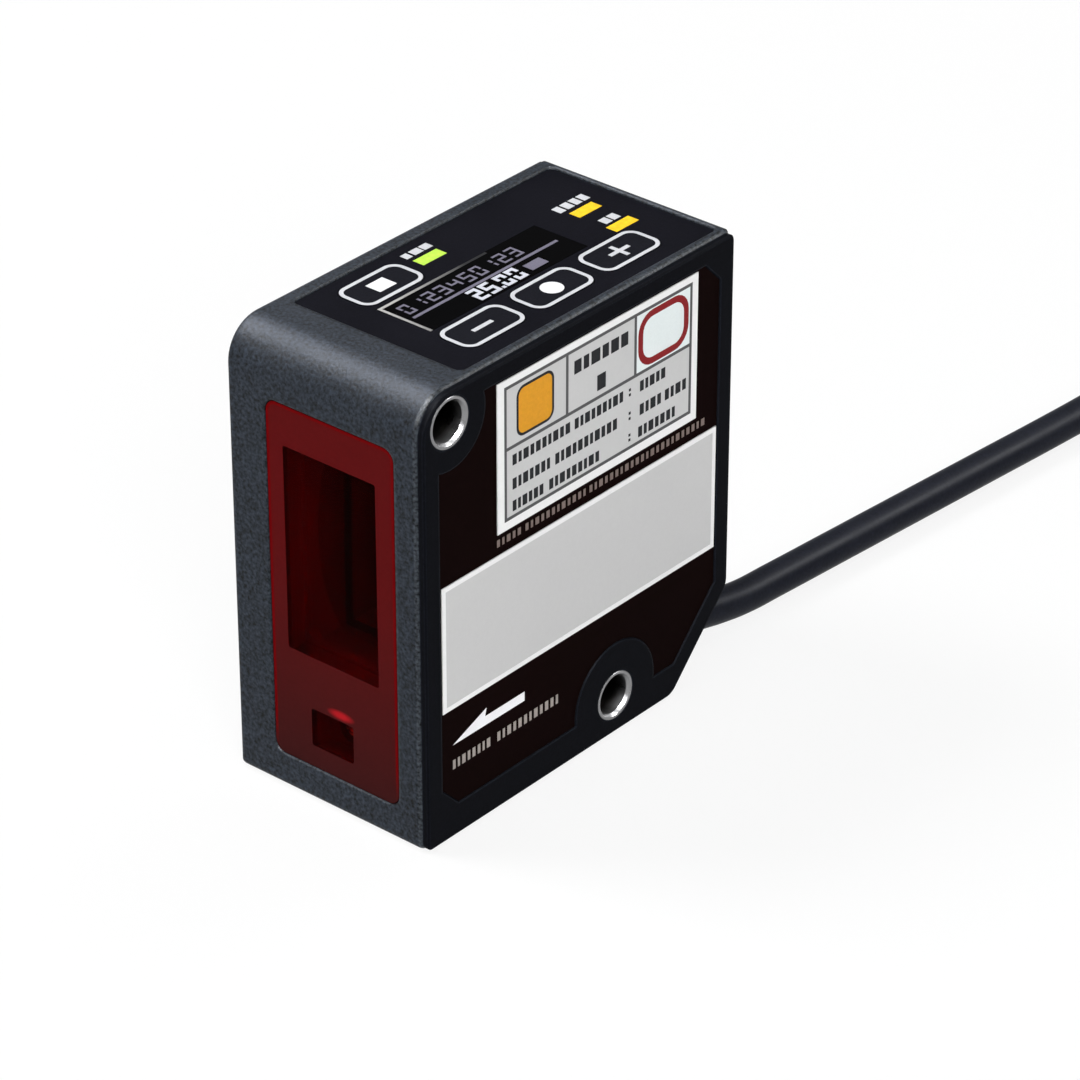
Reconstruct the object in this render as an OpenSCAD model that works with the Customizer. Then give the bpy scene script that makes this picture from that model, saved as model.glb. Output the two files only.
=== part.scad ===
// Laser displacement sensor: cast housing with a side cover, a red front window,
// a control panel with four push keys on top, and a short cable that ends in a round plug.
// X runs from the left side to the cover side, Y from the window to the back, Z up.

/* [Body] */
// Width from the left side to the cover side
body_w = 25; // [24.5:0.1:28]
// Depth from the window face to the back
body_d = 47; // [46.5:0.1:52]
// Height
body_h = 50; // [49.5:0.1:56]
// Thickness of the cast walls
wall = 2; // [1.8:0.1:2.2]
// Radius of the top front corner
nose_r = 4.2; // [3.4:0.1:5]
// Radius of the bottom front and top rear corners
corner_r = 0.9; // [0.6:0.1:1.4]
// Rounding along the edges of both sides
edge_r = 0.5; // [0.3:0.1:0.6]
// Reach of the rear chamfer along the bottom
chamfer_d = 8.9; // [8.2:0.1:9.4]
// Reach of the rear chamfer up the back
chamfer_h = 9.4; // [8.6:0.1:10.2]
// Radius of the two chamfer corners
chamfer_r = 2.4; // [1:0.1:3]
// Height of the lip along the top of the back
lip_h = 2.3; // [1.6:0.1:3]
// How far the lip stands proud of the back
lip_t = 0.25; // [0.1:0.05:0.5]

/* [Side cover] */
// Thickness of the cover's visible flange
flange_t = 0.75; // [0.6:0.05:1]
// Thickness of the cover's inner plate
plate_t = 1.4; // [1.2:0.1:1.6]
// How far the flange stays inside the housing outline
flange_in = 0.2; // [0.1:0.05:0.25]
// Width of the housing rim outside the inner plate
rim_t = 1; // [0.8:0.1:1.2]
// Thickness of the gasket under the cover
gasket_t = 0.5; // [0.4:0.05:0.6]
// Depth of the label recess
recess_t = 0.3; // [0.25:0.05:0.4]
// Thickness of the dark label film
film_t = 0.15; // [0.1:0.01:0.18]
// Thickness of the two label plates
sticker_t = 0.1; // [0.05:0.01:0.12]
// Black border between the flange edge and the label
label_border = 2.6; // [2.2:0.1:3.2]
// Diameter of a cover screw's head
screw_head_d = 3.4; // [3:0.1:3.6]
// Diameter of a cover screw's shank
screw_d = 2; // [1.6:0.1:2.2]

/* [Mounting holes] */
// Bore for the mounting screws
bore_d = 4.3; // [4.1:0.1:4.5]
// Outer diameter of the steel bushings
bushing_d = 5.4; // [5.2:0.1:5.6]
// Upper hole, back from the window face
upper_in = 3.9; // [3.8:0.1:5]
// Upper hole, down from the top
upper_down = 3.4; // [3.3:0.1:4.5]
// Lower hole, forward from the back
lower_back = 18.15; // [17.6:0.05:18.6]
// Lower hole, up from the bottom
lower_up = 4.6; // [4.2:0.1:5]

/* [Window and optics] */
// Body left of the window
window_left = 4.95; // [4.6:0.05:5.3]
// Body right of the window
window_right = 3.7; // [3.4:0.05:4]
// Body below the window
window_low = 4; // [3.6:0.1:4.3]
// Body above the window
window_top = 6.2; // [6:0.1:6.6]
// Window thickness
window_t = 0.7; // [0.6:0.05:0.9]
// Radius of the window's corners
window_r = 1.3; // [0.8:0.1:1.6]
// Thickness of the window's adhesive seal
seal_t = 0.15; // [0.1:0.05:0.25]
// Width of the ledge that the window is bonded to
ledge_w = 1.2; // [1:0.1:1.4]
// Frame left of the receiver opening
receiver_left = 1.9; // [1.8:0.1:2.2]
// Frame right of the receiver opening
receiver_right = 2.4; // [2.2:0.1:2.6]
// Frame above the receiver opening
receiver_top = 4.5; // [4.4:0.1:5]
// Frame below the emitter opening
emitter_low = 2; // [1.9:0.1:2.3]
// Emitter opening, width
emitter_w = 6; // [5.4:0.1:6.2]
// Emitter opening, height
emitter_h = 4.8; // [4.4:0.1:5]
// Bridge between the two openings
bridge_h = 5.1; // [5:0.1:5.6]
// Depth of the two openings
tunnel_t = 1.8; // [1.6:0.1:2.2]
// Share of the body's depth that the optics frame takes
frame_share = 0.44; // [0.42:0.01:0.45]
// Front radius of the receiver lens
lens_r = 26; // [24:0.5:32]

/* [Control panel] */
// Panel thickness
panel_t = 0.5; // [0.4:0.05:0.6]
// How far the panel lies below the top rim
panel_down = 0.2; // [0.1:0.05:0.3]
// Panel front edge, back from the window face
panel_in = 7.5; // [7.3:0.1:8]
// Rim beside the panel on the left
rim_left = 1.85; // [1.6:0.05:2]
// Rim beside the panel on the right
rim_right = 1; // [0.8:0.05:1.1]
// Rim behind the panel
rim_back = 1; // [0.8:0.05:1.2]
// Panel left of the square key
key_left = 1.55; // [1.35:0.05:1.65]
// Panel right of the other keys
key_right = 2.1; // [1.95:0.05:2.25]
// Panel in front of the keys
key_front = 3.9; // [3.8:0.05:4.2]
// Panel behind the last key
key_back = 5.15; // [5:0.05:5.5]
// Panel between two keys of the row
key_gap = 1.4; // [1.3:0.1:1.8]
// Panel between keys and display
column_gap = 0.65; // [0.5:0.05:0.8]
// Share of the width of keys and display that one key takes
key_share = 0.292; // [0.28:0.001:0.3]
// Radius of the key corners
key_r = 1.5; // [1:0.1:2]
// Key travel
key_travel = 0.25; // [0.2:0.05:0.3]
// Panel in front of the display
display_front = 4.3; // [4.1:0.05:4.6]
// Panel behind the display
display_back = 10.75; // [10.5:0.05:11.2]
// Indicator light width
light_w = 1.4; // [1.2:0.1:1.5]
// Indicator light length
light_l = 3.4; // [3.1:0.1:3.5]
// Gap around keys, lights, window and panel
fit_gap = 0.1; // [0.05:0.01:0.12]

/* [Cable and plug] */
// Cable diameter
cable_d = 3.8; // [3.5:0.1:3.8]
// Outer diameter of the cable bush
bush_d = 5; // [4.8:0.1:5.2]
// Radius of the plug's grip
plug_r = 5; // [4.8:0.05:5]
// Thread radius of the plug's coupling screw
thread_r = 4; // [3.9:0.05:4.2]

/* [Hidden] */
$fn = 48;

tiny = 0.01;
over = 1;
left = -body_w / 2;
right = body_w / 2;
front = -body_d / 2;
back = body_d / 2 - lip_t;
split_x = right - flange_t;
plate_x = split_x - plate_t;
shelf_x = plate_x - gasket_t;
slide_fit = 0.05;
air = 0.4;

// Side outline
chamfer_l = norm([chamfer_d, chamfer_h]);
outline_radii = [corner_r, chamfer_r, chamfer_r, corner_r, nose_r];
least_r = 0.3;
arc_steps = 12;
edge_step = 30;

// Mounting holes and the wall that grows round them
upper_hole = [front + upper_in, body_h - upper_down];
lower_hole = [back - lower_back, lower_up];
mount_holes = [upper_hole, lower_hole];
boss_share = 0.8;
boss_r = bushing_d / 2 + boss_share * wall;
upper_boss_r = 5.2;
lower_boss_r = 6.2;

// Label and its two plates
label_front = 2.4;
label_bottom = 3.9;
label_top = 2.1;
label_cut = 2.4;
data_in = 10.7;
data_back = 5.85;
data_down = 2.25;
name_up = 14.95;
name_h = 14.1;
name_side = 0.15;
plate_gap = 2.3;

// Cover screws: place, and the way to the wall that carries the lug
lug_r = 2;
lug_l = 4;
lug_gap = 1.8;
lug_back = 5.35;
lug_up = 5.5;
lug_down = 12;
screw_l = 4.5;
screw_head_t = 0.9;
lugs = [
    [[lower_hole[0] - boss_r - lug_r - lug_gap, label_bottom + screw_head_d / 2 + air], [0, -1]],
    [[back - lug_back, chamfer_h + lug_up], [1, 0]],
    [[back - lug_back, body_h - lug_down], [1, 0]]
];

// Window stack, back from the window face
window_w = body_w - window_left - window_right;
window_h = body_h - window_low - window_top;
window_x = (window_left - window_right) / 2;
window_z = (body_h + window_low - window_top) / 2;
window_y = front + fit_gap;
seal_y = window_y + window_t;
ledge_y = seal_y + seal_t;

// Optics frame: mask, receiver chamber and laser barrel
receiver_w = window_w - receiver_left - receiver_right;
receiver_z0 = window_low + emitter_low + emitter_h + bridge_h;
receiver_z1 = body_h - window_top - receiver_top;
receiver_h = receiver_z1 - receiver_z0;
receiver_z = (receiver_z0 + receiver_z1) / 2;
optic_x = window_x + (receiver_left - receiver_right) / 2;
emitter_z = window_low + emitter_low + emitter_h / 2;
frame_y = front + wall;
frame_end = frame_y + frame_share * body_d;
frame_wall = 1.2;
frame_top = upper_hole[1] - boss_r - 2 * fit_gap;
mask_t = 0.8;
mask_side = 0.2;
chamber_in = 0.3;
chamber_w = receiver_w - 2 * chamber_in;
chamber_h = receiver_h + 2 * chamber_in;
frame_side = chamber_w / 2 + frame_wall;
aperture_in = 0.5;
shoulder_w = 1;
lens_y = ledge_y + tunnel_t + mask_t + air;
lens_edge = 1.2;
lens_l = lens_r - sqrt(pow(lens_r, 2) - pow(chamber_w / 2, 2) - pow(chamber_h / 2, 2)) + lens_edge;

// Laser barrel, its lens and its diode
holder_d = 6.4;
frame_bottom = emitter_z - holder_d / 2 - frame_wall;
laser_end = lugs[0][0][0] - lug_r - 1.5 * air;
holder_y = ledge_y + tunnel_t + mask_t;
holder_short = 1.9;
holder_l = laser_end - holder_y - holder_short;
beam_d = 3.6;
emitter_lens_d = 4.8;
emitter_lens_r = 6;
emitter_lens_t = 1.7;
can_d = 4.2;
can_l = 3;
can_base_d = 5.4;
can_base_t = 1.2;
can_y = holder_y + holder_l - can_base_t;
lead_l = 3;
lead_r = 0.23;
lead_circle_r = 1.2;

// Boards: image sensor behind the frame, main board right of it on four posts
board_t = 1;
image_chip = [6, 1.2, 10];
board_room = 1.2;
board_x = plate_x - board_room - board_t;
panel_board_down = 3;
panel_board_z = body_h - wall - panel_board_down;
board_in = 12.5;
board_over_lug = 2.5;
board_low = [front + board_in, lugs[0][0][1] + lug_r + board_over_lug];
board_high = [back - lug_back - lug_r - air, panel_board_z - board_t - board_over_lug];
board_size = board_high - board_low;
post_r = 1.4;
post_hole_r = 0.85;
post_inset = 2;
post_head_t = 0.8;
board_posts = [
    for (y = [frame_end + board_t + post_inset + post_r, board_high[0] - post_inset])
        for (z = [board_low[1] + post_inset, board_high[1] - post_inset]) [y, z]
];
// Chips on the main board: place and size as shares of the board, and height
chips = [
    [[0.22, 0.4], [0.27, 0.22], 0.9],
    [[0.3, 0.68], [0.16, 0.1], 0.8],
    [[0.2, 0.22], [0.04, 0.06], 0.6],
    [[0.3, 0.22], [0.04, 0.06], 0.6],
    [[0.4, 0.22], [0.04, 0.06], 0.6]
];

// Control panel stack, down from the top rim
panel_top = body_h - panel_down;
panel_z = panel_top - panel_t;
ceiling_z = body_h - wall;
panel_low = [left + rim_left, front + panel_in];
panel_high = [split_x - rim_right, back - rim_back];
panel_size = panel_high - panel_low;
panel_r = 0.8;

// Keys: one on the left, three in a row on the right
columns_w = panel_size[0] - key_left - key_right - 2 * column_gap;
key_w = key_share * columns_w;
key_l = (panel_size[1] - key_front - key_back - 2 * key_gap) / 3;
key_proud = 0.05;
key_top = panel_top + key_proud;
key_lip_t = 0.5;
key_lip = 0.4;
key_lip_z = ceiling_z - fit_gap - key_lip_t;
key_hole_gap = 2 * fit_gap;
key_y = panel_low[1] + key_front + key_l / 2;
key_x = panel_high[0] - key_right - key_w / 2;
square_x = panel_low[0] + key_left + key_w / 2;
key_places = concat(
    [[square_x, key_y]],
    [for (i = [0 : 2]) [key_x, key_y + i * (key_l + key_gap)]]
);

// Display between the two columns of keys
display_w = columns_w - 2 * key_w;
display_l = panel_size[1] - display_front - display_back;
display_x = panel_low[0] + key_left + key_w + column_gap + display_w / 2;
display_y = panel_low[1] + display_front + display_l / 2;
display_ledge = 0.5;
module_end = 1;

// Lights: a green one behind the square key, two yellow ones at the back
green_share = 0.413;
yellow_left = 1.8;
yellow_right = 2.95;
yellow_back = 4.8;
green_place = [square_x - light_w / 4, panel_low[1] + green_share * panel_size[1]];
yellow_places = [
    [display_x - yellow_left, panel_high[1] - yellow_back],
    [display_x + yellow_right, panel_high[1] - yellow_back]
];
light_places = concat([green_place], yellow_places);
light_stem_in = 0.3;

// Display board and what stands on it
panel_board_in = 0.9;
panel_board_low = [left + wall + 1.5 * air, panel_low[1] + panel_board_in];
panel_board_high = [shelf_x - air, back - wall - 1.5 * air];
standoff_r = 1.2;
standoff_in = 1.4;
standoffs = [
    for (x = [panel_board_low[0] + standoff_in, panel_board_high[0] - standoff_in])
        for (y = [panel_board_low[1] + standoff_in, panel_board_high[1] - standoff_in]) [x, y]
];
switch_w = 3.4;
switch_t = 1.2;
plunger_r = 0.8;
plunger_up = key_travel + slide_fit;
plunger_l = 0.6;
lamp_size = [1, 1.6, 0.6];
lamp_gap = 0.2;

// Cable bush in the rear chamfer
bush_in = 10.15;
bush_out = 2.15;
bush_gap = 0.3;
bush_y = back - bush_in;
bush_end = back - bush_out;
exit_x = shelf_x - bush_d / 2 - bush_gap;
exit_up = 1.5;
exit_z = cable_d / 2 + exit_up;

// Route of the cable from the bush: to the right, back, and up from where it lies
cable_sides = 8;
lie_z = cable_d / 2;
plug_rise = plug_r - lie_z;
cable_steps = [
    [0, 0, exit_up], [0.15, 3.2, 1.3], [0.45, 6.7, 0.7], [0.7, 10.7, 0.15], [0.95, 15.2, 0],
    [1.7, 24.2, 0], [2.45, 33.2, 0], [3.2, 42.2, 0], [3.95, 51.2, 0], [4.7, 60.2, 0], [5.3, 69.2, 0],
    [5.6, 78.2, 0], [5.7, 87.2, 0], [5.7, 96.2, 0], [5.7, 105.2, 0], [5.7, 114.2, 0],
    [5.7, 122.2, 0.07 * plug_rise], [5.7, 128.2, 0.29 * plug_rise], [5.7, 134.2, 0.65 * plug_rise],
    [5.7, 139.2, 0.9 * plug_rise], [5.7, 144.2, plug_rise], [5.7, 147.2, plug_rise]
];
cable_route = concat(
    [[exit_x, bush_y + bush_gap, exit_z]],
    [for (step = cable_steps) [exit_x, bush_end, lie_z] + step]
);

// Plug on the end of the cable
plug_socket = 3.2;
plug_at = cable_route[len(cable_route) - 1] - [0, plug_socket - bush_gap, 0];
plug_relief_l = 9;
plug_relief_t = 1;
plug_grip_l = 16;
plug_bevel = 0.6;
plug_spigot_l = 4.5;
plug_spigot_r = 2.85;
plug_shoulder = plug_relief_l + plug_grip_l;
grooves = 5;
groove_r = 0.5;
groove_pitch = 2.2;
groove_in = 3;
groove_start = plug_relief_l + groove_in;
screw_start = plug_shoulder + bush_gap;
screw_gap = 0.07;
knurl_l = 6;
knurl_in = 0.2;
knurl_end = 0.8;
sleeve_l = 6.5;
knurls = 24;
knurl_r = 0.35;
insert_l = 4.5;
pin_l = 3.6;
pin_r = 0.5;
pin_circle_r = 1.5;
seal_ring_r = 0.45;

function unit(v) = v / norm(v);
function half_angle(p, a, b) = acos(unit(a - p) * unit(b - p)) / 2;
function round_from(p, a, b, r) = p + unit(a - p) * r / tan(half_angle(p, a, b));
function round_centre(p, a, b, r) = p + unit(unit(a - p) + unit(b - p)) * r / sin(half_angle(p, a, b));

function turned(v, a) = [v[0] * cos(a) - v[1] * sin(a), v[0] * sin(a) + v[1] * cos(a)];
function corner_arc(p, a, b, r) =
    let (
        centre = round_centre(p, a, b, r),
        arm = round_from(p, a, b, r) - centre,
        sweep = 180 - 2 * half_angle(p, a, b)
    )
    [for (k = [0 : arc_steps]) centre + turned(arm, sweep * k / arc_steps)];
function rounded_loop(points, radii) =
    let (n = len(points))
    [
        for (i = [0 : n - 1])
            for (q = corner_arc(points[i], points[(i + n - 1) % n], points[(i + 1) % n], radii[i])) q
    ];

// Place along Y of the chamfer line at height z, moved inwards by i
function chamfer_y(z, i) = back - chamfer_d + z * chamfer_d / chamfer_h - i * chamfer_l / chamfer_h;
// Height of the same line at y
function chamfer_z(y, i) = chamfer_h - (back - y) * chamfer_h / chamfer_d + i * chamfer_l / chamfer_d;

function side_points(i) = [
    [front + i, i],
    [chamfer_y(i, i), i],
    [back - i, chamfer_z(back - i, i)],
    [back - i, body_h - i],
    [front + i, body_h - i]
];

function side_radii(i) = [for (r = outline_radii) max(r - i, least_r)];

module along_x(x0, x1) {
    translate([x0, 0, 0])
        rotate([90, 0, 90])
            linear_extrude(x1 - x0) children();
}

module along_y(y0, y1) {
    translate([0, y1, 0])
        rotate([90, 0, 0])
            linear_extrude(y1 - y0) children();
}

module along_z(z0, z1) {
    translate([0, 0, z0])
        linear_extrude(z1 - z0) children();
}

// Convex outline with a radius at each point
module rounded_outline(points, radii) {
    n = len(points);
    polygon([
        for (i = [0 : n - 1])
            for (to = [n - 1, 1])
                round_from(points[i], points[(i + to) % n], points[(i + n - to) % n], radii[i])
    ]);
    for (i = [0 : n - 1])
        translate(round_centre(points[i], points[(i + n - 1) % n], points[(i + 1) % n], radii[i]))
            circle(radii[i]);
}

module rounded_rect(centre, size, r) {
    translate(centre) {
        square([size[0] - 2 * r, size[1]], center = true);
        square([size[0], size[1] - 2 * r], center = true);
        for (x = [-1, 1])
            for (y = [-1, 1])
                translate([x * (size[0] / 2 - r), y * (size[1] / 2 - r)]) circle(r);
    }
}

module box(low, high) {
    translate(low) cube(high - low);
}

// Side outline of the body, moved inwards by i
module side_outline(i) {
    rounded_outline(side_points(i), side_radii(i));
}

// The same outline without the wall round the mounting holes
module inner_outline(i) {
    difference() {
        side_outline(i);
        for (hole = mount_holes)
            translate(hole) circle(bushing_d / 2 + boss_share * i);
    }
}

// Solid through side outlines: each ring is a place along X and how far its outline moves inwards
module side_loft(rings) {
    loops = [for (ring = rings) rounded_loop(side_points(ring[1]), side_radii(ring[1]))];
    n = len(loops[0]);
    last = (len(rings) - 1) * n;
    polyhedron(
        [for (k = [0 : len(rings) - 1]) for (p = loops[k]) [rings[k][0], p[0], p[1]]],
        concat(
            [[for (i = [0 : n - 1]) i]],
            [[for (i = [n - 1 : -1 : 0]) last + i]],
            [for (k = [0 : len(rings) - 2]) for (i = [0 : n - 1])
                [k * n + i, (k + 1) * n + i, (k + 1) * n + (i + 1) % n, k * n + (i + 1) % n]]
        )
    );
}

// Solid body between two side faces with rounded edges
module rounded_body(x0, x1, r) {
    side_loft([
        for (a = [0 : edge_step : 90]) [x0 + r * (1 - cos(a)), r * (1 - sin(a))],
        for (a = [90 : -edge_step : 0]) [x1 - r * (1 - cos(a)), r * (1 - sin(a))]
    ]);
}

module at_mount_holes(x0, x1, r) {
    for (hole = mount_holes)
        along_x(x0, x1) translate(hole) circle(r);
}

module label_outline(i) {
    low = label_bottom + i;
    near = front + label_front + i;
    far = back - label_border + flange_in - i;
    top = body_h - label_top - i;
    border = label_border + i;
    difference() {
        polygon([
            [near, low + label_cut], [near + label_cut, low], [chamfer_y(low, border), low],
            [far, chamfer_z(far, border)], [far, top - label_cut], [far - label_cut, top], [near, top]
        ]);
        translate(mount_holes[0]) circle(upper_boss_r + i);
        translate(mount_holes[1]) circle(lower_boss_r + i);
    }
}

module window_outline(i) {
    rounded_rect([window_x, window_z], [window_w - 2 * i, window_h - 2 * i], max(window_r - i, least_r));
}

module panel_outline(i) {
    rounded_rect(
        (panel_low + panel_high) / 2,
        panel_size - 2 * [i, i],
        panel_r
    );
}

module key_outline(place, i) {
    rounded_rect(place, [key_w - 2 * i, key_l - 2 * i], key_r - i);
}

module display_outline(i) {
    translate([display_x, display_y]) square([display_w - 2 * i, display_l - 2 * i], center = true);
}

module light_outline(place, i) {
    translate(place) square([light_w - 2 * i, light_l - 2 * i], center = true);
}

module lug_outline(lug) {
    reach = lug[1][0] == 0 ? lug[0][1] - wall / 2 : back - wall / 2 - lug[0][0];
    translate(lug[0]) {
        circle(lug_r);
        rotate(lug[1][0] == 0 ? -90 : 0)
            translate([0, -lug_r]) square([reach, 2 * lug_r]);
    }
}

module cable_hole(r) {
    along_y(bush_y - over, bush_end + over) translate([exit_x, exit_z]) circle(r);
}

module housing() {
    color("#3c434a")
        difference() {
            union() {
                difference() {
                    union() {
                        rounded_body(left, split_x, edge_r);
                        rear_lip();
                    }
                    along_x(left + wall, split_x + over) inner_outline(wall);
                    along_x(shelf_x, split_x + over) inner_outline(rim_t);
                }
                for (lug = lugs)
                    along_x(shelf_x - lug_l, shelf_x) lug_outline(lug);
                for (post = board_posts)
                    along_x(left + wall / 2, board_x) translate(post) circle(post_r);
                for (place = standoffs)
                    along_z(panel_board_z, ceiling_z + tiny) translate(place) circle(standoff_r);
            }
            at_mount_holes(left - over, right + over, bushing_d / 2 + slide_fit / 2);
            along_y(front - over, ledge_y) window_outline(-fit_gap);
            along_y(front - over, front + wall + over) window_outline(ledge_w);
            along_z(panel_z, body_h + over) panel_outline(-fit_gap);
            along_z(ceiling_z - over, body_h) top_openings();
            cable_hole(bush_d / 2 + slide_fit / 2);
            for (lug = lugs)
                along_x(shelf_x - lug_l - over, shelf_x + over)
                    translate(lug[0]) circle(screw_d / 2 + slide_fit);
            for (post = board_posts)
                along_x(board_x - lug_l, board_x + over) translate(post) circle(post_hole_r);
        }
}

module rear_lip() {
    low = body_h - lip_h;
    along_x(left + edge_r, split_x - edge_r)
        rounded_outline(
            [[back - wall / 2, low], [back + lip_t, low], [back + lip_t, body_h], [back - wall / 2, body_h]],
            [least_r / 2, lip_t / 2, corner_r, least_r / 2]
        );
}

module top_openings() {
    for (place = key_places)
        key_outline(place, -key_hole_gap);
    display_outline(display_ledge);
    for (place = light_places)
        light_outline(place, light_stem_in - fit_gap);
}

module side_cover() {
    color("#15171b")
        difference() {
            union() {
                side_loft([
                    [split_x, flange_in], [right - flange_in, flange_in], [right, 2 * flange_in]
                ]);
                along_x(plate_x, split_x + tiny) inner_outline(rim_t + fit_gap);
            }
            along_x(right - recess_t, right + over) label_outline(-fit_gap);
            at_mount_holes(plate_x - over, right + over, bushing_d / 2 + slide_fit / 2);
            for (lug = lugs) {
                along_x(plate_x - over, right) translate(lug[0]) circle(screw_d / 2 + fit_gap);
                along_x(right - recess_t - screw_head_t, right)
                    translate(lug[0]) circle(screw_head_d / 2 + fit_gap);
            }
        }
}

module cover_gasket() {
    color("#2a2a2c")
        along_x(shelf_x, plate_x)
            difference() {
                inner_outline(rim_t + fit_gap);
                inner_outline(wall - fit_gap);
            }
}

module cover_screws() {
    head_x = right - recess_t - screw_head_t;
    color("silver")
        for (lug = lugs) {
            along_x(head_x, right - recess_t) translate(lug[0]) circle(screw_head_d / 2);
            along_x(head_x - screw_l, head_x) translate(lug[0]) circle(screw_d / 2);
        }
}

module bushing(hole) {
    color("#c9ccd0")
        along_x(left, right)
            translate(hole)
                difference() {
                    circle(bushing_d / 2);
                    circle(bore_d / 2);
                }
}

module upper_bushing() {
    bushing(mount_holes[0]);
}

module lower_bushing() {
    bushing(mount_holes[1]);
}

module side_label() {
    color("#160c0c")
        along_x(right - recess_t, right - recess_t + film_t) label_outline(0);
}

module label_plate(low, size) {
    x = right - recess_t + film_t;
    color("#c6c6c6")
        along_x(x, x + sticker_t)
            translate(low) square(size);
}

module data_plate() {
    low = [front + data_in, name_up + name_h + plate_gap];
    label_plate(low, [back - data_back, body_h - data_down] - low);
}

module name_plate() {
    near = front + label_front + name_side;
    far = back - label_border + flange_in - name_side;
    label_plate([near, name_up], [far - near, name_h]);
}

module front_window() {
    color("#7a1416")
        along_y(window_y, seal_y) window_outline(0);
}

module window_seal() {
    color("#301012")
        along_y(seal_y, ledge_y)
            difference() {
                window_outline(fit_gap);
                window_outline(ledge_w);
            }
}

// One-piece frame behind the window: mask with two openings, receiver chamber and laser barrel
module optics_frame() {
    color("#26262a")
        difference() {
            union() {
                along_y(ledge_y, frame_y + tiny) window_outline(ledge_w + fit_gap);
                box(
                    [window_x - window_w / 2 + mask_side, frame_y, window_low + ledge_w],
                    [window_x + window_w / 2 - mask_side, lens_y, frame_top]
                );
                box(
                    [optic_x - frame_side, frame_y, frame_bottom],
                    [optic_x + frame_side, laser_end, frame_top]
                );
                box(
                    [optic_x - frame_side, frame_y, receiver_z - chamber_h / 2 - frame_wall],
                    [optic_x + frame_side, frame_end, receiver_z + chamber_h / 2 + frame_wall]
                );
            }
            along_y(front, ledge_y + tunnel_t)
                translate([optic_x, receiver_z]) square([receiver_w, receiver_h], center = true);
            along_y(front, lens_y)
                rounded_rect(
                    [optic_x, receiver_z],
                    [receiver_w - 2 * aperture_in, receiver_h - 2 * aperture_in],
                    window_r
                );
            along_y(lens_y - tiny, lens_y + lens_l) receiver_chamber(0);
            along_y(lens_y, frame_end + over) receiver_chamber(shoulder_w);
            along_y(front, ledge_y + tunnel_t)
                translate([optic_x, emitter_z]) square([emitter_w, emitter_h], center = true);
            on_beam(front, laser_end, beam_d / 2);
            on_beam(holder_y, laser_end + over, holder_d / 2 + slide_fit);
        }
}

module receiver_chamber(i) {
    translate([optic_x, receiver_z]) square([chamber_w - 2 * i, chamber_h - 2 * i], center = true);
}

// Cylinder on the laser's axis
module on_beam(y0, y1, r) {
    along_y(y0, y1) translate([optic_x, emitter_z]) circle(r);
}

// Moulded lens: a spherical front face on a rectangular block
module receiver_lens() {
    color("#40181a")
        intersection() {
            along_y(lens_y, lens_y + lens_l) receiver_chamber(fit_gap);
            translate([optic_x, lens_y + lens_r, receiver_z]) sphere(lens_r, $fn = 96);
        }
}

module laser_holder() {
    color("#b59a5a")
        difference() {
            on_beam(holder_y, holder_y + holder_l, holder_d / 2);
            on_beam(holder_y - over, holder_y + holder_l, beam_d / 2);
            on_beam(holder_y - over, holder_y + lamp_gap + emitter_lens_t, emitter_lens_d / 2 + slide_fit);
            on_beam(can_y - can_l - air, holder_y + holder_l + over, can_d / 2 + slide_fit);
            on_beam(can_y, holder_y + holder_l + over, can_base_d / 2 + slide_fit);
        }
}

module emitter_lens() {
    y = holder_y + lamp_gap;
    color("#d8e4ea")
        intersection() {
            on_beam(y, y + emitter_lens_t, emitter_lens_d / 2);
            translate([optic_x, y + emitter_lens_r, emitter_z]) sphere(emitter_lens_r, $fn = 96);
        }
}

// Diode can: base disc, cap and three leads
module laser_diode() {
    color("#c2a25a") {
        on_beam(can_y, can_y + can_base_t, can_base_d / 2);
        on_beam(can_y - can_l, can_y + tiny, can_d / 2);
        for (a = [90, 210, 330])
            along_y(can_y, can_y + can_base_t + lead_l)
                translate([optic_x, emitter_z] + lead_circle_r * [cos(a), sin(a)]) circle(lead_r);
    }
}

module sensor_board() {
    half_h = chamber_h / 2 + frame_wall;
    color("#1f5a3c")
        box(
            [optic_x - frame_side, frame_end, receiver_z - half_h],
            [optic_x + frame_side, frame_end + board_t, receiver_z + half_h]
        );
}

module image_sensor() {
    low = [optic_x - image_chip[0] / 2, frame_end - image_chip[1], receiver_z - image_chip[2] / 2];
    color("#2b2b30")
        box(low, low + image_chip);
}

module main_board() {
    color("#1f5a3c")
        along_x(board_x, board_x + board_t)
            difference() {
                translate(board_low) square(board_size);
                for (post = board_posts)
                    translate(post) circle(post_hole_r);
            }
}

module board_chips() {
    x = board_x + board_t;
    color("#222226")
        for (chip = chips)
            along_x(x, x + chip[2])
                translate(board_low + [chip[0][0] * board_size[0], chip[0][1] * board_size[1]])
                    square([chip[1][0] * board_size[0], chip[1][1] * board_size[1]]);
}

module board_screws() {
    x = board_x + board_t;
    color("silver")
        for (post = board_posts) {
            along_x(x, x + post_head_t) translate(post) circle(post_r);
            along_x(x - lug_l, x) translate(post) circle(post_hole_r - slide_fit);
        }
}

module display_board() {
    color("#1f5a3c")
        along_z(panel_board_z - board_t, panel_board_z)
            translate(panel_board_low) square(panel_board_high - panel_board_low);
}

module display_module() {
    half = [display_w / 2 - display_ledge / 2, display_l / 2 + module_end];
    middle = [display_x - display_ledge / 2, display_y];
    color("#101418")
        along_z(panel_board_z, ceiling_z - air)
            translate(middle) square(2 * half, center = true);
}

module display_window() {
    color("#0a0b0e")
        along_z(panel_z, panel_top) display_outline(0);
}

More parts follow.
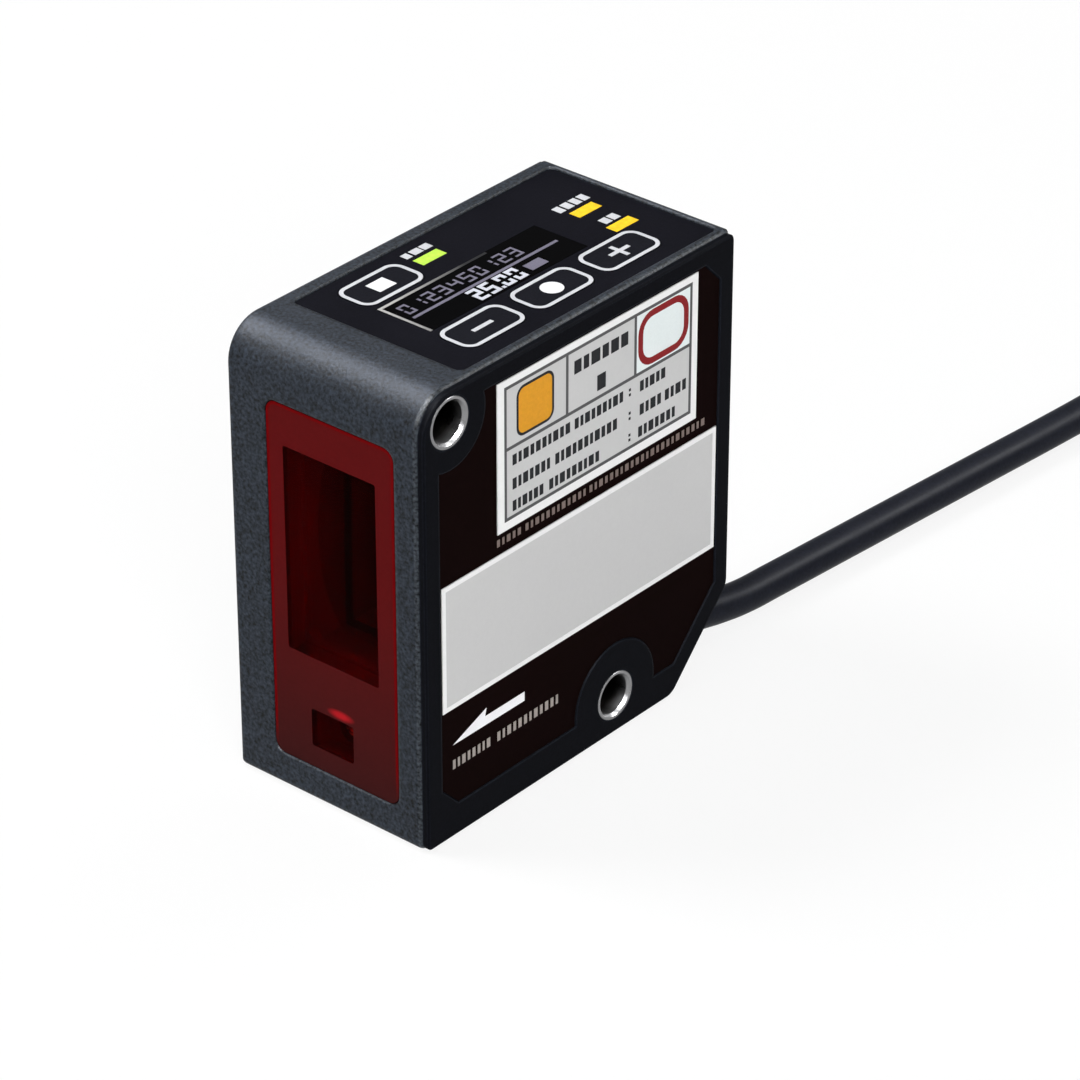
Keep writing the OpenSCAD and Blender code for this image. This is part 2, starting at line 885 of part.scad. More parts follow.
module control_panel() {
    color("#1b1c21")
        along_z(panel_z, panel_top)
            difference() {
                panel_outline(0);
                for (place = key_places)
                    key_outline(place, -fit_gap);
                display_outline(-slide_fit);
                for (place = light_places)
                    light_outline(place, -slide_fit);
            }
}

// Four snap switches: a body with a well for its plunger
module key_switches() {
    color("#8a8d92")
        for (place = key_places)
            difference() {
                along_z(panel_board_z, panel_board_z + switch_t)
                    translate(place) square([switch_w, switch_w], center = true);
                along_z(panel_board_z + switch_t - plunger_l, panel_board_z + switch_t + over)
                    translate(place) circle(plunger_r + slide_fit);
            }
}

module plunger(place) {
    top = panel_board_z + switch_t + plunger_up;
    color("#3a3a3e")
        along_z(top - plunger_l, top) translate(place) circle(plunger_r);
}

// Key cap with end lips under the housing's top wall and a foot on the plunger
module key(place) {
    foot_z = panel_board_z + switch_t + plunger_up;
    color("#1d1f25") {
        along_z(key_lip_z, key_top) key_outline(place, 0);
        along_z(key_lip_z, key_lip_z + key_lip_t)
            translate(place) square([key_w - 2 * key_r, key_l + 2 * key_lip], center = true);
        along_z(foot_z, key_lip_z + tiny) translate(place) circle(plunger_r);
    }
}

module square_key() {
    key(key_places[0]);
}

module minus_key() {
    key(key_places[1]);
}

module dot_key() {
    key(key_places[2]);
}

module plus_key() {
    key(key_places[3]);
}

module square_plunger() {
    plunger(key_places[0]);
}

module minus_plunger() {
    plunger(key_places[1]);
}

module dot_plunger() {
    plunger(key_places[2]);
}

module plus_plunger() {
    plunger(key_places[3]);
}

// Light guide: a head in the panel's opening, and a stem through the top wall down to its lamp
module light_guide(place) {
    low = panel_board_z + lamp_size[2] + lamp_gap;
    along_z(panel_z, panel_top) light_outline(place, 0);
    along_z(low, panel_z + tiny) light_outline(place, light_stem_in);
}

module power_light_guide() {
    color("#a6e03a") light_guide(green_place);
}

module output_light_guides() {
    color("#ffd820")
        for (place = yellow_places)
            light_guide(place);
}

module indicator_lamps() {
    color("#f2f0e0")
        for (place = light_places)
            translate([place[0] - lamp_size[0] / 2, place[1] - lamp_size[1] / 2, panel_board_z])
                cube(lamp_size);
}

module cable_bush() {
    color("#17181c")
        along_y(bush_y, bush_end)
            translate([exit_x, exit_z])
                difference() {
                    circle(bush_d / 2);
                    circle(cable_d / 2 + slide_fit);
                }
}

// Tube swept along the route: one ring of points for each route point
function route_way(i) = unit(cable_route[min(i + 1, len(cable_route) - 1)] - cable_route[max(i - 1, 0)]);
function ring(i) = [
    for (k = [0 : cable_sides - 1])
        let (
            way = route_way(i),
            side = unit(cross(way, [0, 0, 1])),
            up = cross(side, way),
            a = 360 * (k + 0.5) / cable_sides
        )
        cable_route[i] + cable_d / 2 * (cos(a) * side + sin(a) * up)
];

module cable() {
    n = len(cable_route);
    s = cable_sides;
    color("#1a1c22")
        polyhedron(
            points = [for (i = [0 : n - 1]) each ring(i)],
            faces = concat(
                [[for (k = [0 : s - 1]) k]],
                [[for (k = [s - 1 : -1 : 0]) (n - 1) * s + k]],
                [
                    for (i = [0 : n - 2])
                        for (k = [0 : s - 1])
                            [i * s + k, (i + 1) * s + k, (i + 1) * s + (k + 1) % s, i * s + (k + 1) % s]
                ]
            )
        );
}

// Turns a profile of [radius, distance] round the plug's axis, which points along +Y
module on_plug_axis() {
    translate(plug_at) rotate([-90, 0, 0]) children();
}

// Overmoulded grip with a tapered strain relief, waist grooves and a spigot for the coupling screw
module plug_body() {
    relief_r = cable_d / 2 + plug_relief_t;
    color("#1a1c20")
        on_plug_axis()
            difference() {
                rotate_extrude()
                    polygon([
                        [0, 0], [relief_r, 0], [relief_r + plug_bevel, plug_relief_l - plug_bevel],
                        [plug_r, plug_relief_l + 2 * plug_bevel],
                        [plug_r, plug_shoulder - plug_bevel], [plug_r - plug_bevel, plug_shoulder],
                        [plug_spigot_r, plug_shoulder], [plug_spigot_r, plug_shoulder + plug_spigot_l],
                        [0, plug_shoulder + plug_spigot_l]
                    ]);
                translate([0, 0, -over]) cylinder(h = plug_socket + over, r = cable_d / 2 + slide_fit);
                for (step = [0 : grooves - 1])
                    translate([0, 0, groove_start + groove_pitch * step])
                        rotate_extrude() translate([plug_r + groove_r / 2, 0]) circle(groove_r);
            }
}

module plug_insert() {
    color("#26262a")
        on_plug_axis()
            translate([0, 0, plug_shoulder + plug_spigot_l]) cylinder(h = insert_l, r = plug_spigot_r);
}

module plug_pins() {
    color("#c9a24a")
        on_plug_axis()
            translate([0, 0, plug_shoulder + plug_spigot_l + insert_l])
                for (a = [45 : 90 : 315])
                    translate(pin_circle_r * [cos(a), sin(a), 0]) cylinder(h = pin_l, r = pin_r);
}

// Coupling screw: knurled ring and threaded sleeve, free to turn on the spigot
module coupling_screw() {
    color("#b9bcc0")
        on_plug_axis()
            translate([0, 0, screw_start])
                difference() {
                    union() {
                        cylinder(h = knurl_l, r = plug_r - knurl_in);
                        cylinder(h = knurl_l + sleeve_l, r = thread_r);
                    }
                    translate([0, 0, -over])
                        cylinder(h = knurl_l + sleeve_l + 2 * over, r = plug_spigot_r + screw_gap);
                    for (a = [0 : 360 / knurls : 359])
                        rotate(a)
                            translate([plug_r - knurl_in / 2, 0, knurl_end])
                                cylinder(h = knurl_l - 2 * knurl_end, r = knurl_r);
                }
}

module plug_seal() {
    color("#222226")
        on_plug_axis()
            translate([0, 0, screw_start + knurl_l + seal_ring_r])
                rotate_extrude() translate([thread_r + seal_ring_r + slide_fit, 0]) circle(seal_ring_r);
}

housing();
side_cover();
cover_gasket();
cover_screws();
upper_bushing();
lower_bushing();
side_label();
data_plate();
name_plate();
front_window();
window_seal();
optics_frame();
receiver_lens();
emitter_lens();
laser_holder();
laser_diode();
sensor_board();
image_sensor();
main_board();
board_chips();
board_screws();
display_board();
display_module();
display_window();
control_panel();
key_switches();
square_key();
minus_key();
dot_key();
plus_key();
square_plunger();
minus_plunger();
dot_plunger();
plus_plunger();
power_light_guide();
output_light_guides();
indicator_lamps();
cable_bush();
cable();
plug_body();
plug_insert();
plug_pins();
coupling_screw();
plug_seal();
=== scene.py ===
import math

import bmesh
import bpy
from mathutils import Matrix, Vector
from mathutils.geometry import tessellate_polygon


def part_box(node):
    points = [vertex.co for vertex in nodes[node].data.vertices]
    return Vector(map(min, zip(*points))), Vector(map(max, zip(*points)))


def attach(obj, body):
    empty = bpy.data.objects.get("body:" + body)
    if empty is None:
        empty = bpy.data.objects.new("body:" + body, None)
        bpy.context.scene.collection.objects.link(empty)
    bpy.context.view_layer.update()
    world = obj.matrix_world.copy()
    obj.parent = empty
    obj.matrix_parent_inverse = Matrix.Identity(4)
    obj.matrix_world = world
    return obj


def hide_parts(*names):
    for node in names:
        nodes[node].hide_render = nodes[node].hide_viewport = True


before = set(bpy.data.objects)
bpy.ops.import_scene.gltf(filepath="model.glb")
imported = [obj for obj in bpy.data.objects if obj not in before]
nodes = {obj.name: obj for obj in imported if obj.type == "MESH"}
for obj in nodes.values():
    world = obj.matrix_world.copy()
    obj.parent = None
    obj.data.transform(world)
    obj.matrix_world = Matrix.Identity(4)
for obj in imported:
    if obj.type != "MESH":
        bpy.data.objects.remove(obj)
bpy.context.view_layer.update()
mm = 0.001
scene = bpy.context.scene
scene.view_settings.view_transform = "Standard"
print("frame loaded:", len(nodes), "nodes")


# camera
camera = {"azimuth": 40.354, "elevation": 30.671, "distance": 480, "target": (6.87, 0, 22.95), "lens": 162.01,
          "sensor": 36, "clip": (0.01, 20)}


def backWay(azimuth, elevation):
    a, e = math.radians(azimuth), math.radians(elevation)
    return Vector((math.sin(a) * math.cos(e), -math.cos(a) * math.cos(e), math.sin(e)))


def addCamera(spec):
    data = bpy.data.cameras.new("photoCamera")
    data.lens = spec["lens"]
    data.sensor_width = spec["sensor"]
    data.clip_start, data.clip_end = spec["clip"]
    obj = bpy.data.objects.new("photoCamera", data)
    scene.collection.objects.link(obj)
    back = backWay(spec["azimuth"], spec["elevation"])
    obj.location = (Vector(spec["target"]) + back * spec["distance"]) * mm
    obj.rotation_euler = back.to_track_quat("Z", "Y").to_euler()
    scene.camera = obj


addCamera(camera)
print("camera set")


# shader groups: colours, masks, values and normals only
groupSpec = {
    "noiseSpan": (0.3, 0.7),  # where the noise mostly lies
    "blotch": {"scale": 140.0, "detail": 4.0},
    "turning": {"detail": 4.0, "rough": 0.65, "shade": (0.86, 1.08)},
    "stain": {"scale": 420.0, "detail": 3.0, "shade": (0.75, 1.3)},
    "glintEdge": (1.0, 0.35),  # share of the reach where the painted glint starts and where it is full
    "bendTurn": (0.98, 0.72), "bendSamples": 6,  # cosine of the bend where the edge mask starts and where it is full
}


def makeGroup(name, inputs, outputs):
    tree = bpy.data.node_groups.new(name, "ShaderNodeTree")
    for label, kind, value in inputs:
        socket = tree.interface.new_socket(name=label, in_out="INPUT", socket_type="NodeSocket" + kind)
        socket.default_value = value
    for label, kind in outputs:
        tree.interface.new_socket(name=label, in_out="OUTPUT", socket_type="NodeSocket" + kind)
    return tree, tree.nodes.new("NodeGroupInput").outputs, tree.nodes.new("NodeGroupOutput").inputs


def addNode(tree, kind, links=(), **values):
    node = tree.nodes.new(kind)
    for key, value in values.items():
        if hasattr(node, key) and key not in node.inputs:
            setattr(node, key, value)
        else:
            node.inputs[key].default_value = value
    for source, label in links:
        tree.links.new(source, node.inputs[label])
    return node


def feed(tree, socket, given):  # a plain value is set, an output is linked
    if isinstance(given, (int, float, tuple)):
        socket.default_value = given
    else:
        tree.links.new(given, socket)


def objectPlace(tree):
    return tree.nodes.new("ShaderNodeTexCoord").outputs["Object"]


def noiseAt(tree, vector, scale, detail=3.0, rough=0.55):
    node = addNode(tree, "ShaderNodeTexNoise", [(vector, "Vector")], Detail=detail, Roughness=rough)
    feed(tree, node.inputs["Scale"], scale)
    return node.outputs["Fac"]


def remap(tree, value, low, high, toLow, toHigh):
    node = addNode(tree, "ShaderNodeMapRange", [(value, "Value")])
    for label, given in (("From Min", low), ("From Max", high), ("To Min", toLow), ("To Max", toHigh)):
        feed(tree, node.inputs[label], given)
    return node.outputs["Result"]


def calc(tree, operation, a, b=0.5):
    node = addNode(tree, "ShaderNodeMath", operation=operation)
    feed(tree, node.inputs[0], a)
    feed(tree, node.inputs[1], b)
    return node.outputs[0]


def vectorCalc(tree, operation, *given):
    return addNode(tree, "ShaderNodeVectorMath", [(v, i) for i, v in enumerate(given)], operation=operation)


def mixColor(tree, factor, a, b, blend="MIX"):  # 6, 7 and 2 are the colour sockets
    node = addNode(tree, "ShaderNodeMix", data_type="RGBA", blend_type=blend)
    for socket, given in ((node.inputs[0], factor), (node.inputs[6], a), (node.inputs[7], b)):
        feed(tree, socket, given)
    return node.outputs[2]


def around(tree, middle, spread):
    return calc(tree, "SUBTRACT", middle, spread), calc(tree, "ADD", middle, spread)


def shaded(tree, color, shade):
    gray = addNode(tree, "ShaderNodeCombineColor", [(shade, label) for label in ("Red", "Green", "Blue")])
    return mixColor(tree, 1.0, color, gray.outputs[0], "MULTIPLY")


def surfaceGrainGroup(spec):
    tree, given, out = makeGroup(
        "surfaceGrain",
        [("Color", "Color", (0.1, 0.1, 0.1, 1)), ("Scale", "Float", 4000.0), ("Contrast", "Float", 0.15),
         ("Roughness", "Float", 0.5), ("Smudge", "Float", 0.06), ("Blotch", "Float", 0.05)],
        [("Color", "Color"), ("Roughness", "Float"), ("Height", "Float")],
    )
    place, span = objectPlace(tree), spec["noiseSpan"]
    grain = noiseAt(tree, place, given["Scale"])
    blotch = noiseAt(tree, place, spec["blotch"]["scale"], spec["blotch"]["detail"])
    shade = remap(tree, grain, *span, *around(tree, 1.0, given["Contrast"]))
    shade = calc(tree, "MULTIPLY", shade, remap(tree, blotch, *span, *around(tree, 1.0, given["Blotch"])))
    tree.links.new(shaded(tree, given["Color"], shade), out["Color"])
    rough = remap(tree, blotch, *span, *around(tree, given["Roughness"], given["Smudge"]))
    tree.links.new(rough, out["Roughness"])
    tree.links.new(grain, out["Height"])
    return tree


def turnMarksGroup(spec):
    tree, given, out = makeGroup(
        "turnMarks",
        [("Color", "Color", (0.6, 0.6, 0.6, 1)), ("Stretch", "Vector", (1, 1, 1)),
         ("Roughness", "Float", 0.25)],
        [("Color", "Color"), ("Roughness", "Float"), ("Height", "Float")],
    )
    place, span = objectPlace(tree), spec["noiseSpan"]
    turning, stain = spec["turning"], spec["stain"]
    scaled = vectorCalc(tree, "MULTIPLY", place, given["Stretch"])
    lines = noiseAt(tree, scaled.outputs[0], 1.0, turning["detail"], turning["rough"])
    blotch = noiseAt(tree, place, stain["scale"], stain["detail"])
    shade = remap(tree, lines, *span, *turning["shade"])
    tree.links.new(shaded(tree, given["Color"], shade), out["Color"])
    rough = calc(tree, "MULTIPLY", given["Roughness"], remap(tree, blotch, *span, *stain["shade"]))
    tree.links.new(rough, out["Roughness"])
    tree.links.new(lines, out["Height"])
    return tree


def fadeGroup(name, bothWays):  # from start to end along a direction, or both ways from the middle
    tree, given, out = makeGroup(
        name, [("Direction", "Vector", (0, 0, 1)), ("Start", "Float", 0.0), ("End", "Float", 0.01)],
        [("Mask", "Float")],
    )
    along = vectorCalc(tree, "DOT_PRODUCT", objectPlace(tree), given["Direction"]).outputs["Value"]
    if bothWays:
        along = calc(tree, "ABSOLUTE", along)
    tree.links.new(remap(tree, along, given["Start"], given["End"], 0.0, 1.0), out["Mask"])
    return tree


def glintSpotGroup(spec):
    tree, given, out = makeGroup(
        "glintSpot", [("Centre", "Vector", (0, 0, 0)), ("Spread", "Vector", (1000, 1000, 1000))],
        [("Mask", "Float")],
    )
    away = vectorCalc(tree, "SUBTRACT", objectPlace(tree), given["Centre"])
    scaled = vectorCalc(tree, "MULTIPLY", away.outputs[0], given["Spread"])
    reach = vectorCalc(tree, "LENGTH", scaled.outputs[0]).outputs["Value"]
    tree.links.new(remap(tree, reach, *spec["glintEdge"], 0.0, 1.0), out["Mask"])
    return tree


def edgeBendMaskGroup(spec):
    tree, given, out = makeGroup(
        "edgeBendMask", [("Radius", "Float", 0.0003)], [("Mask", "Float"), ("Normal", "Vector")],
    )
    bevel = addNode(tree, "ShaderNodeBevel", [(given["Radius"], "Radius")], samples=spec["bendSamples"])
    flat = tree.nodes.new("ShaderNodeNewGeometry").outputs["Normal"]
    turn = vectorCalc(tree, "DOT_PRODUCT", bevel.outputs[0], flat).outputs["Value"]
    tree.links.new(remap(tree, turn, *spec["bendTurn"], 0.0, 1.0), out["Mask"])
    tree.links.new(bevel.outputs[0], out["Normal"])
    return tree


groups = {
    "surfaceGrain": surfaceGrainGroup(groupSpec), "turnMarks": turnMarksGroup(groupSpec),
    "placeFade": fadeGroup("placeFade", False), "depthFade": fadeGroup("depthFade", True),
    "glintSpot": glintSpotGroup(groupSpec), "edgeBendMask": edgeBendMaskGroup(groupSpec),
}
print("shader groups made:", len(groups))


# materials
bumpSpec = {"grainShare": 0.35, "turnedDepth": 0.02}  # grain bump as a share of the grain, tool marks in mm
clearGrain = {"scale": 600.0, "smudgeShare": 0.5}
plainWear = 0.05  # smudges and blotches where a look names none


def startMaterial(name):
    material = bpy.data.materials.new(name)
    material.use_nodes = True
    tree = material.node_tree
    return material, tree, tree.nodes["Principled BSDF"]


def setShader(shader, spec):
    labels = {"specular": "Specular IOR Level", "metallic": "Metallic", "ior": "IOR",
              "transmission": "Transmission Weight", "emission": "Emission Strength"}
    for key, label in labels.items():
        if key in spec:
            shader.inputs[label].default_value = spec[key]


def groupNode(tree, name, **values):
    node = tree.nodes.new("ShaderNodeGroup")
    node.node_tree = groups[name]
    for key, value in values.items():
        node.inputs[key].default_value = value
    return node


def fadeMask(tree, name, fade):
    way, start, end = fade["direction"], fade["start"] * mm, fade["end"] * mm
    return groupNode(tree, name, Direction=way, Start=start, End=end).outputs["Mask"]


def glintMask(tree, paintedGlint):
    centre, spread = [v * mm for v in paintedGlint["centre"]], [1 / (v * mm) for v in paintedGlint["reach"]]
    return groupNode(tree, "glintSpot", Centre=centre, Spread=spread).outputs["Mask"]


def addBump(tree, shader, height, strength, distance):
    bump = addNode(tree, "ShaderNodeBump", [(height, "Height")], Strength=strength, Distance=distance * mm)
    tree.links.new(bump.outputs["Normal"], shader.inputs["Normal"])
    return bump


# edges are smoother and rounder, and their lighter colour is a painted highlight
def addEdgeSmoothingAndHighlight(tree, shader, grain, bump, base, edgeSmoothingAndHighlight):
    edges = groupNode(tree, "edgeBendMask", Radius=edgeSmoothingAndHighlight["radius"] * mm)
    edgeMask = edges.outputs["Mask"]
    # the housing's right rim strip gets the same painted highlight
    if "line" in edgeSmoothingAndHighlight:
        edgeMask = calc(tree, "MAXIMUM", edgeMask, fadeMask(tree, "placeFade", edgeSmoothingAndHighlight["line"]))
    tree.links.new(mixColor(tree, edgeMask, base, (*edgeSmoothingAndHighlight["color"], 1)), grain.inputs["Color"])
    even = remap(tree, edgeMask, 0.0, 1.0, 1.0, edgeSmoothingAndHighlight["even"])
    tree.links.new(calc(tree, "MULTIPLY", grain.outputs["Height"], even), bump.inputs["Height"])
    tree.links.new(edges.outputs["Normal"], bump.inputs["Normal"])
    polish = remap(tree, edgeMask, 0.0, 1.0, 1.0, edgeSmoothingAndHighlight["polish"])
    tree.links.new(calc(tree, "MULTIPLY", grain.outputs["Roughness"], polish), shader.inputs["Roughness"])


def grainMaterial(name, spec):
    material, tree, shader = startMaterial(name)
    base = (*spec["color"], 1)
    grain = groupNode(
        tree, "surfaceGrain", Color=base, Scale=1.0 / (spec["grain"] * mm), Contrast=spec["contrast"],
        Roughness=spec["roughness"], Smudge=spec.get("smudge", plainWear),
        Blotch=spec.get("blotch", plainWear),
    )
    tree.links.new(grain.outputs["Color"], shader.inputs["Base Color"])
    tree.links.new(grain.outputs["Roughness"], shader.inputs["Roughness"])
    depth = spec["grain"] * bumpSpec["grainShare"]
    bump = addBump(tree, shader, grain.outputs["Height"], spec["bump"], depth)
    if "fade" in spec:
        fade = spec["fade"]
        tint = mixColor(tree, fadeMask(tree, "placeFade", fade), base, (*fade["color"], 1))
        # a painted highlight: a soft brighter spot
        if "paintedGlint" in spec:
            tint = mixColor(tree, glintMask(tree, spec["paintedGlint"]), tint, (*spec["paintedGlint"]["color"], 1))
        tree.links.new(tint, grain.inputs["Color"])
    if "edgeSmoothingAndHighlight" in spec:
        addEdgeSmoothingAndHighlight(tree, shader, grain, bump, base, spec["edgeSmoothingAndHighlight"])
    if "emission" in spec:
        tree.links.new(grain.outputs["Color"], shader.inputs["Emission Color"])
    setShader(shader, spec)
    return material


def turnedMaterial(name, spec):
    material, tree, shader = startMaterial(name)
    base = (*spec["color"], 1)
    marks = groupNode(tree, "turnMarks", Color=base, Stretch=spec["stretch"], Roughness=spec["roughness"])
    # painted shade deeper in the bore
    if "boreShade" in spec:
        mask = fadeMask(tree, "depthFade", spec["boreShade"])
        tree.links.new(mixColor(tree, mask, (*spec["boreShade"]["color"], 1), base), marks.inputs["Color"])
    tree.links.new(marks.outputs["Color"], shader.inputs["Base Color"])
    tree.links.new(marks.outputs["Roughness"], shader.inputs["Roughness"])
    addBump(tree, shader, marks.outputs["Height"], spec["bump"], bumpSpec["turnedDepth"])
    setShader(shader, spec)
    return material


def setSurface(tree, share, first, second):
    links = [(share, 0), (first.outputs[0], 1), (second.outputs[0], 2)]
    mix = addNode(tree, "ShaderNodeMixShader", links)
    tree.links.new(mix.outputs[0], tree.nodes["Material Output"].inputs["Surface"])


# clear pieces let tinted light through as shadow, so that what is behind them is lit
def clearMaterial(name, spec):
    material, tree, shader = startMaterial(name)
    base = (*spec["color"], 1)
    grain = groupNode(
        tree, "surfaceGrain", Color=base, Scale=clearGrain["scale"], Contrast=spec["contrast"],
        Roughness=spec["roughness"], Smudge=spec["roughness"] * clearGrain["smudgeShare"],
    )
    tree.links.new(grain.outputs["Color"], shader.inputs["Base Color"])
    tree.links.new(grain.outputs["Roughness"], shader.inputs["Roughness"])
    setShader(shader, spec)
    through = addNode(tree, "ShaderNodeBsdfTransparent", Color=base)
    shadow = tree.nodes.new("ShaderNodeLightPath").outputs["Is Shadow Ray"]
    setSurface(tree, shadow, shader, through)
    return material


looks = {
    "housingPaint": {"color": (0.0125, 0.0170, 0.0245), "grain": 0.36, "contrast": 1.0, "roughness": 0.5,
                     "bump": 0.36, "specular": 0.1,
                     # painted highlight: the lighter edge colour below lightens bent edges and, through line,
                     # the right rim strip
                     "edgeSmoothingAndHighlight": {"radius": 0.6, "color": (0.03, 0.036, 0.044), "polish": 0.6, "even": 0.15,
                             "line": {"direction": (1, 0, 0), "start": 11.2, "end": 11.35}}},
    "coverBlack": {"color": (0.0036, 0.0040, 0.0058), "grain": 0.3, "contrast": 0.15, "roughness": 0.45,
                   "bump": 0.12, "specular": 0.01,
                   # painted highlight: lighter colour along the cover's bent edges
                   "edgeSmoothingAndHighlight": {"radius": 0.35, "color": (0.017, 0.020, 0.028), "polish": 0.8, "even": 0.5}},
    "labelFilm": {"color": (0.0052, 0.0020, 0.0019), "grain": 0.5, "contrast": 0.08, "roughness": 0.4,
                  "bump": 0.04, "specular": 0.003},
    "plateGray": {"color": (0.56, 0.56, 0.56), "grain": 0.35, "contrast": 0.012, "roughness": 0.5,
                  "bump": 0.03, "specular": 0.1, "blotch": 0.008},
    "panelFilm": {"color": (0.0056, 0.0056, 0.0088), "grain": 0.22, "contrast": 0.15, "roughness": 0.5,
                  "bump": 0.12, "specular": 0.011},
    "keyTop": {"color": (0.0062, 0.0065, 0.0103), "grain": 0.22, "contrast": 0.15, "roughness": 0.45,
               "bump": 0.1, "specular": 0.022},
    "displayGlass": {"color": (0.0004, 0.0004, 0.0007), "grain": 1.2, "contrast": 0.1, "roughness": 0.2,
                     "smudge": 0.04, "bump": 0.01, "specular": 0.02},
    "blackMoulding": {"color": (0.010, 0.010, 0.012), "grain": 0.3, "contrast": 0.15, "roughness": 0.55,
                      "bump": 0.2, "specular": 0.2},
    "opticsFrame": {"color": (0.039, 0.032, 0.032), "grain": 0.3, "contrast": 0.06, "roughness": 0.6,
                    "bump": 0.1, "specular": 0.004,
                    "fade": {"direction": (0, 1, 0), "start": -21.3, "end": -21.0,
                             "color": (0.046, 0.028, 0.028)}},
    "windowPrint": {"color": (0.036, 0.0073, 0.0073), "grain": 0.5, "contrast": 0.05, "roughness": 0.45,
                    "bump": 0.02, "specular": 0.006, "blotch": 0.03,
                    # painted light: the border is lighter towards the top and darker towards the bottom
                    "fade": {"direction": (0, 0, 1), "start": 3, "end": 28, "color": (0.087, 0.0050, 0.0055)},
                    # painted glint: a bright red spot just above the emitter opening
                    "paintedGlint": {"centre": (1.3, -23.4, 11.45), "reach": (1.9, 5, 0.62),
                             "color": (0.36, 0.010, 0.014)}},
    # painted highlight along the window's edge, fading out towards the bottom
    "windowRimGlint": {"color": (0.036, 0.0073, 0.0073), "grain": 0.5, "contrast": 0.05, "roughness": 0.4,
                  "bump": 0.02, "specular": 0.006,
                  "fade": {"direction": (0, 0, 1), "start": 4.5, "end": 8, "color": (0.125, 0.0012, 0.0020)}},
    "softBlack": {"color": (0.009, 0.009, 0.010), "grain": 0.2, "contrast": 0.2, "roughness": 0.7,
                  "bump": 0.25, "specular": 0.2},
    "jacket": {"color": (0.0075, 0.0088, 0.0150), "grain": 0.35, "contrast": 0.25, "roughness": 0.42,
               "bump": 0.15, "specular": 0.055},
    "boardGreen": {"color": (0.012, 0.07, 0.03), "grain": 0.8, "contrast": 0.15, "roughness": 0.35,
                   "bump": 0.1, "specular": 0.5},
    "chipBlack": {"color": (0.014, 0.014, 0.016), "grain": 0.2, "contrast": 0.2, "roughness": 0.6,
                  "bump": 0.2, "specular": 0.35},
    "outlinePrint": {"color": (0.62, 0.63, 0.66), "grain": 0.15, "contrast": 0.04, "roughness": 0.6,
                     "bump": 0.05, "specular": 0.1},
    "whitePrint": {"color": (0.90, 0.90, 0.92), "grain": 0.15, "contrast": 0.03, "roughness": 0.6,
                   "bump": 0.05, "specular": 0.1},
    # painted highlight: the light band along the plates' edges
    "plateEdgeGlint": {"color": (0.84, 0.84, 0.84), "grain": 0.2, "contrast": 0.02, "roughness": 0.5,
                  "bump": 0.03, "specular": 0.1, "blotch": 0.01},
    "fieldPrint": {"color": (0.76, 0.82, 0.82), "grain": 0.2, "contrast": 0.02, "roughness": 0.5,
                   "bump": 0.03, "specular": 0.1, "blotch": 0.01},
    "linePrint": {"color": (0.085, 0.085, 0.088), "grain": 0.2, "contrast": 0.05, "roughness": 0.6,
                  "bump": 0.03, "specular": 0.1},
    "darkPrint": {"color": (0.020, 0.020, 0.023), "grain": 0.2, "contrast": 0.05, "roughness": 0.6,
                  "bump": 0.03, "specular": 0.05},
    "beigePrint": {"color": (0.20, 0.155, 0.14), "grain": 0.2, "contrast": 0.1, "roughness": 0.6,
                   "bump": 0.03, "specular": 0.02},
    "palePrint": {"color": (0.36, 0.325, 0.30), "grain": 0.2, "contrast": 0.1, "roughness": 0.6,
                  "bump": 0.03, "specular": 0.02},
    "amberPrint": {"color": (0.68, 0.30, 0.012), "grain": 0.3, "contrast": 0.05, "roughness": 0.5,
                   "bump": 0.03, "specular": 0.1},
    "redPrint": {"color": (0.22, 0.004, 0.006), "grain": 0.3, "contrast": 0.05, "roughness": 0.5,
                 "bump": 0.03, "specular": 0.1},
    "displayDim": {"color": (0.15, 0.14, 0.19), "grain": 0.12, "contrast": 0.15, "roughness": 0.6,
                   "bump": 0.02, "specular": 0.05, "emission": 0.15},
    "displayLit": {"color": (0.55, 0.56, 0.62), "grain": 0.12, "contrast": 0.1, "roughness": 0.6,
                   "bump": 0.02, "specular": 0.05, "emission": 0.2},
    # painted reflection: light lines along the display window's front and left edges, bright at the corner
    # and fading away from it
    "displayEdgeGlint": {"color": (0.55, 0.54, 0.53), "grain": 0.3, "contrast": 0.05, "roughness": 0.3,
                    "bump": 0.02, "specular": 0.2,
                    "fade": {"direction": (1, 1, 0), "start": -15.2, "end": -2.5,
                             "color": (0.012, 0.012, 0.014)}},
    "greenLight": {"color": (0.46, 0.74, 0.07), "grain": 0.6, "contrast": 0.15, "roughness": 0.25,
                   "bump": 0.05, "specular": 0.3, "emission": 0.3},
    "yellowLight": {"color": (0.84, 0.53, 0.008), "grain": 0.6, "contrast": 0.12, "roughness": 0.25,
                    "bump": 0.05, "specular": 0.3, "emission": 0.3},
    "lampPackage": {"color": (0.75, 0.73, 0.62), "grain": 0.4, "contrast": 0.05, "roughness": 0.4,
                    "bump": 0.05, "specular": 0.4},
}
materials = {name: grainMaterial(name, spec) for name, spec in looks.items()}

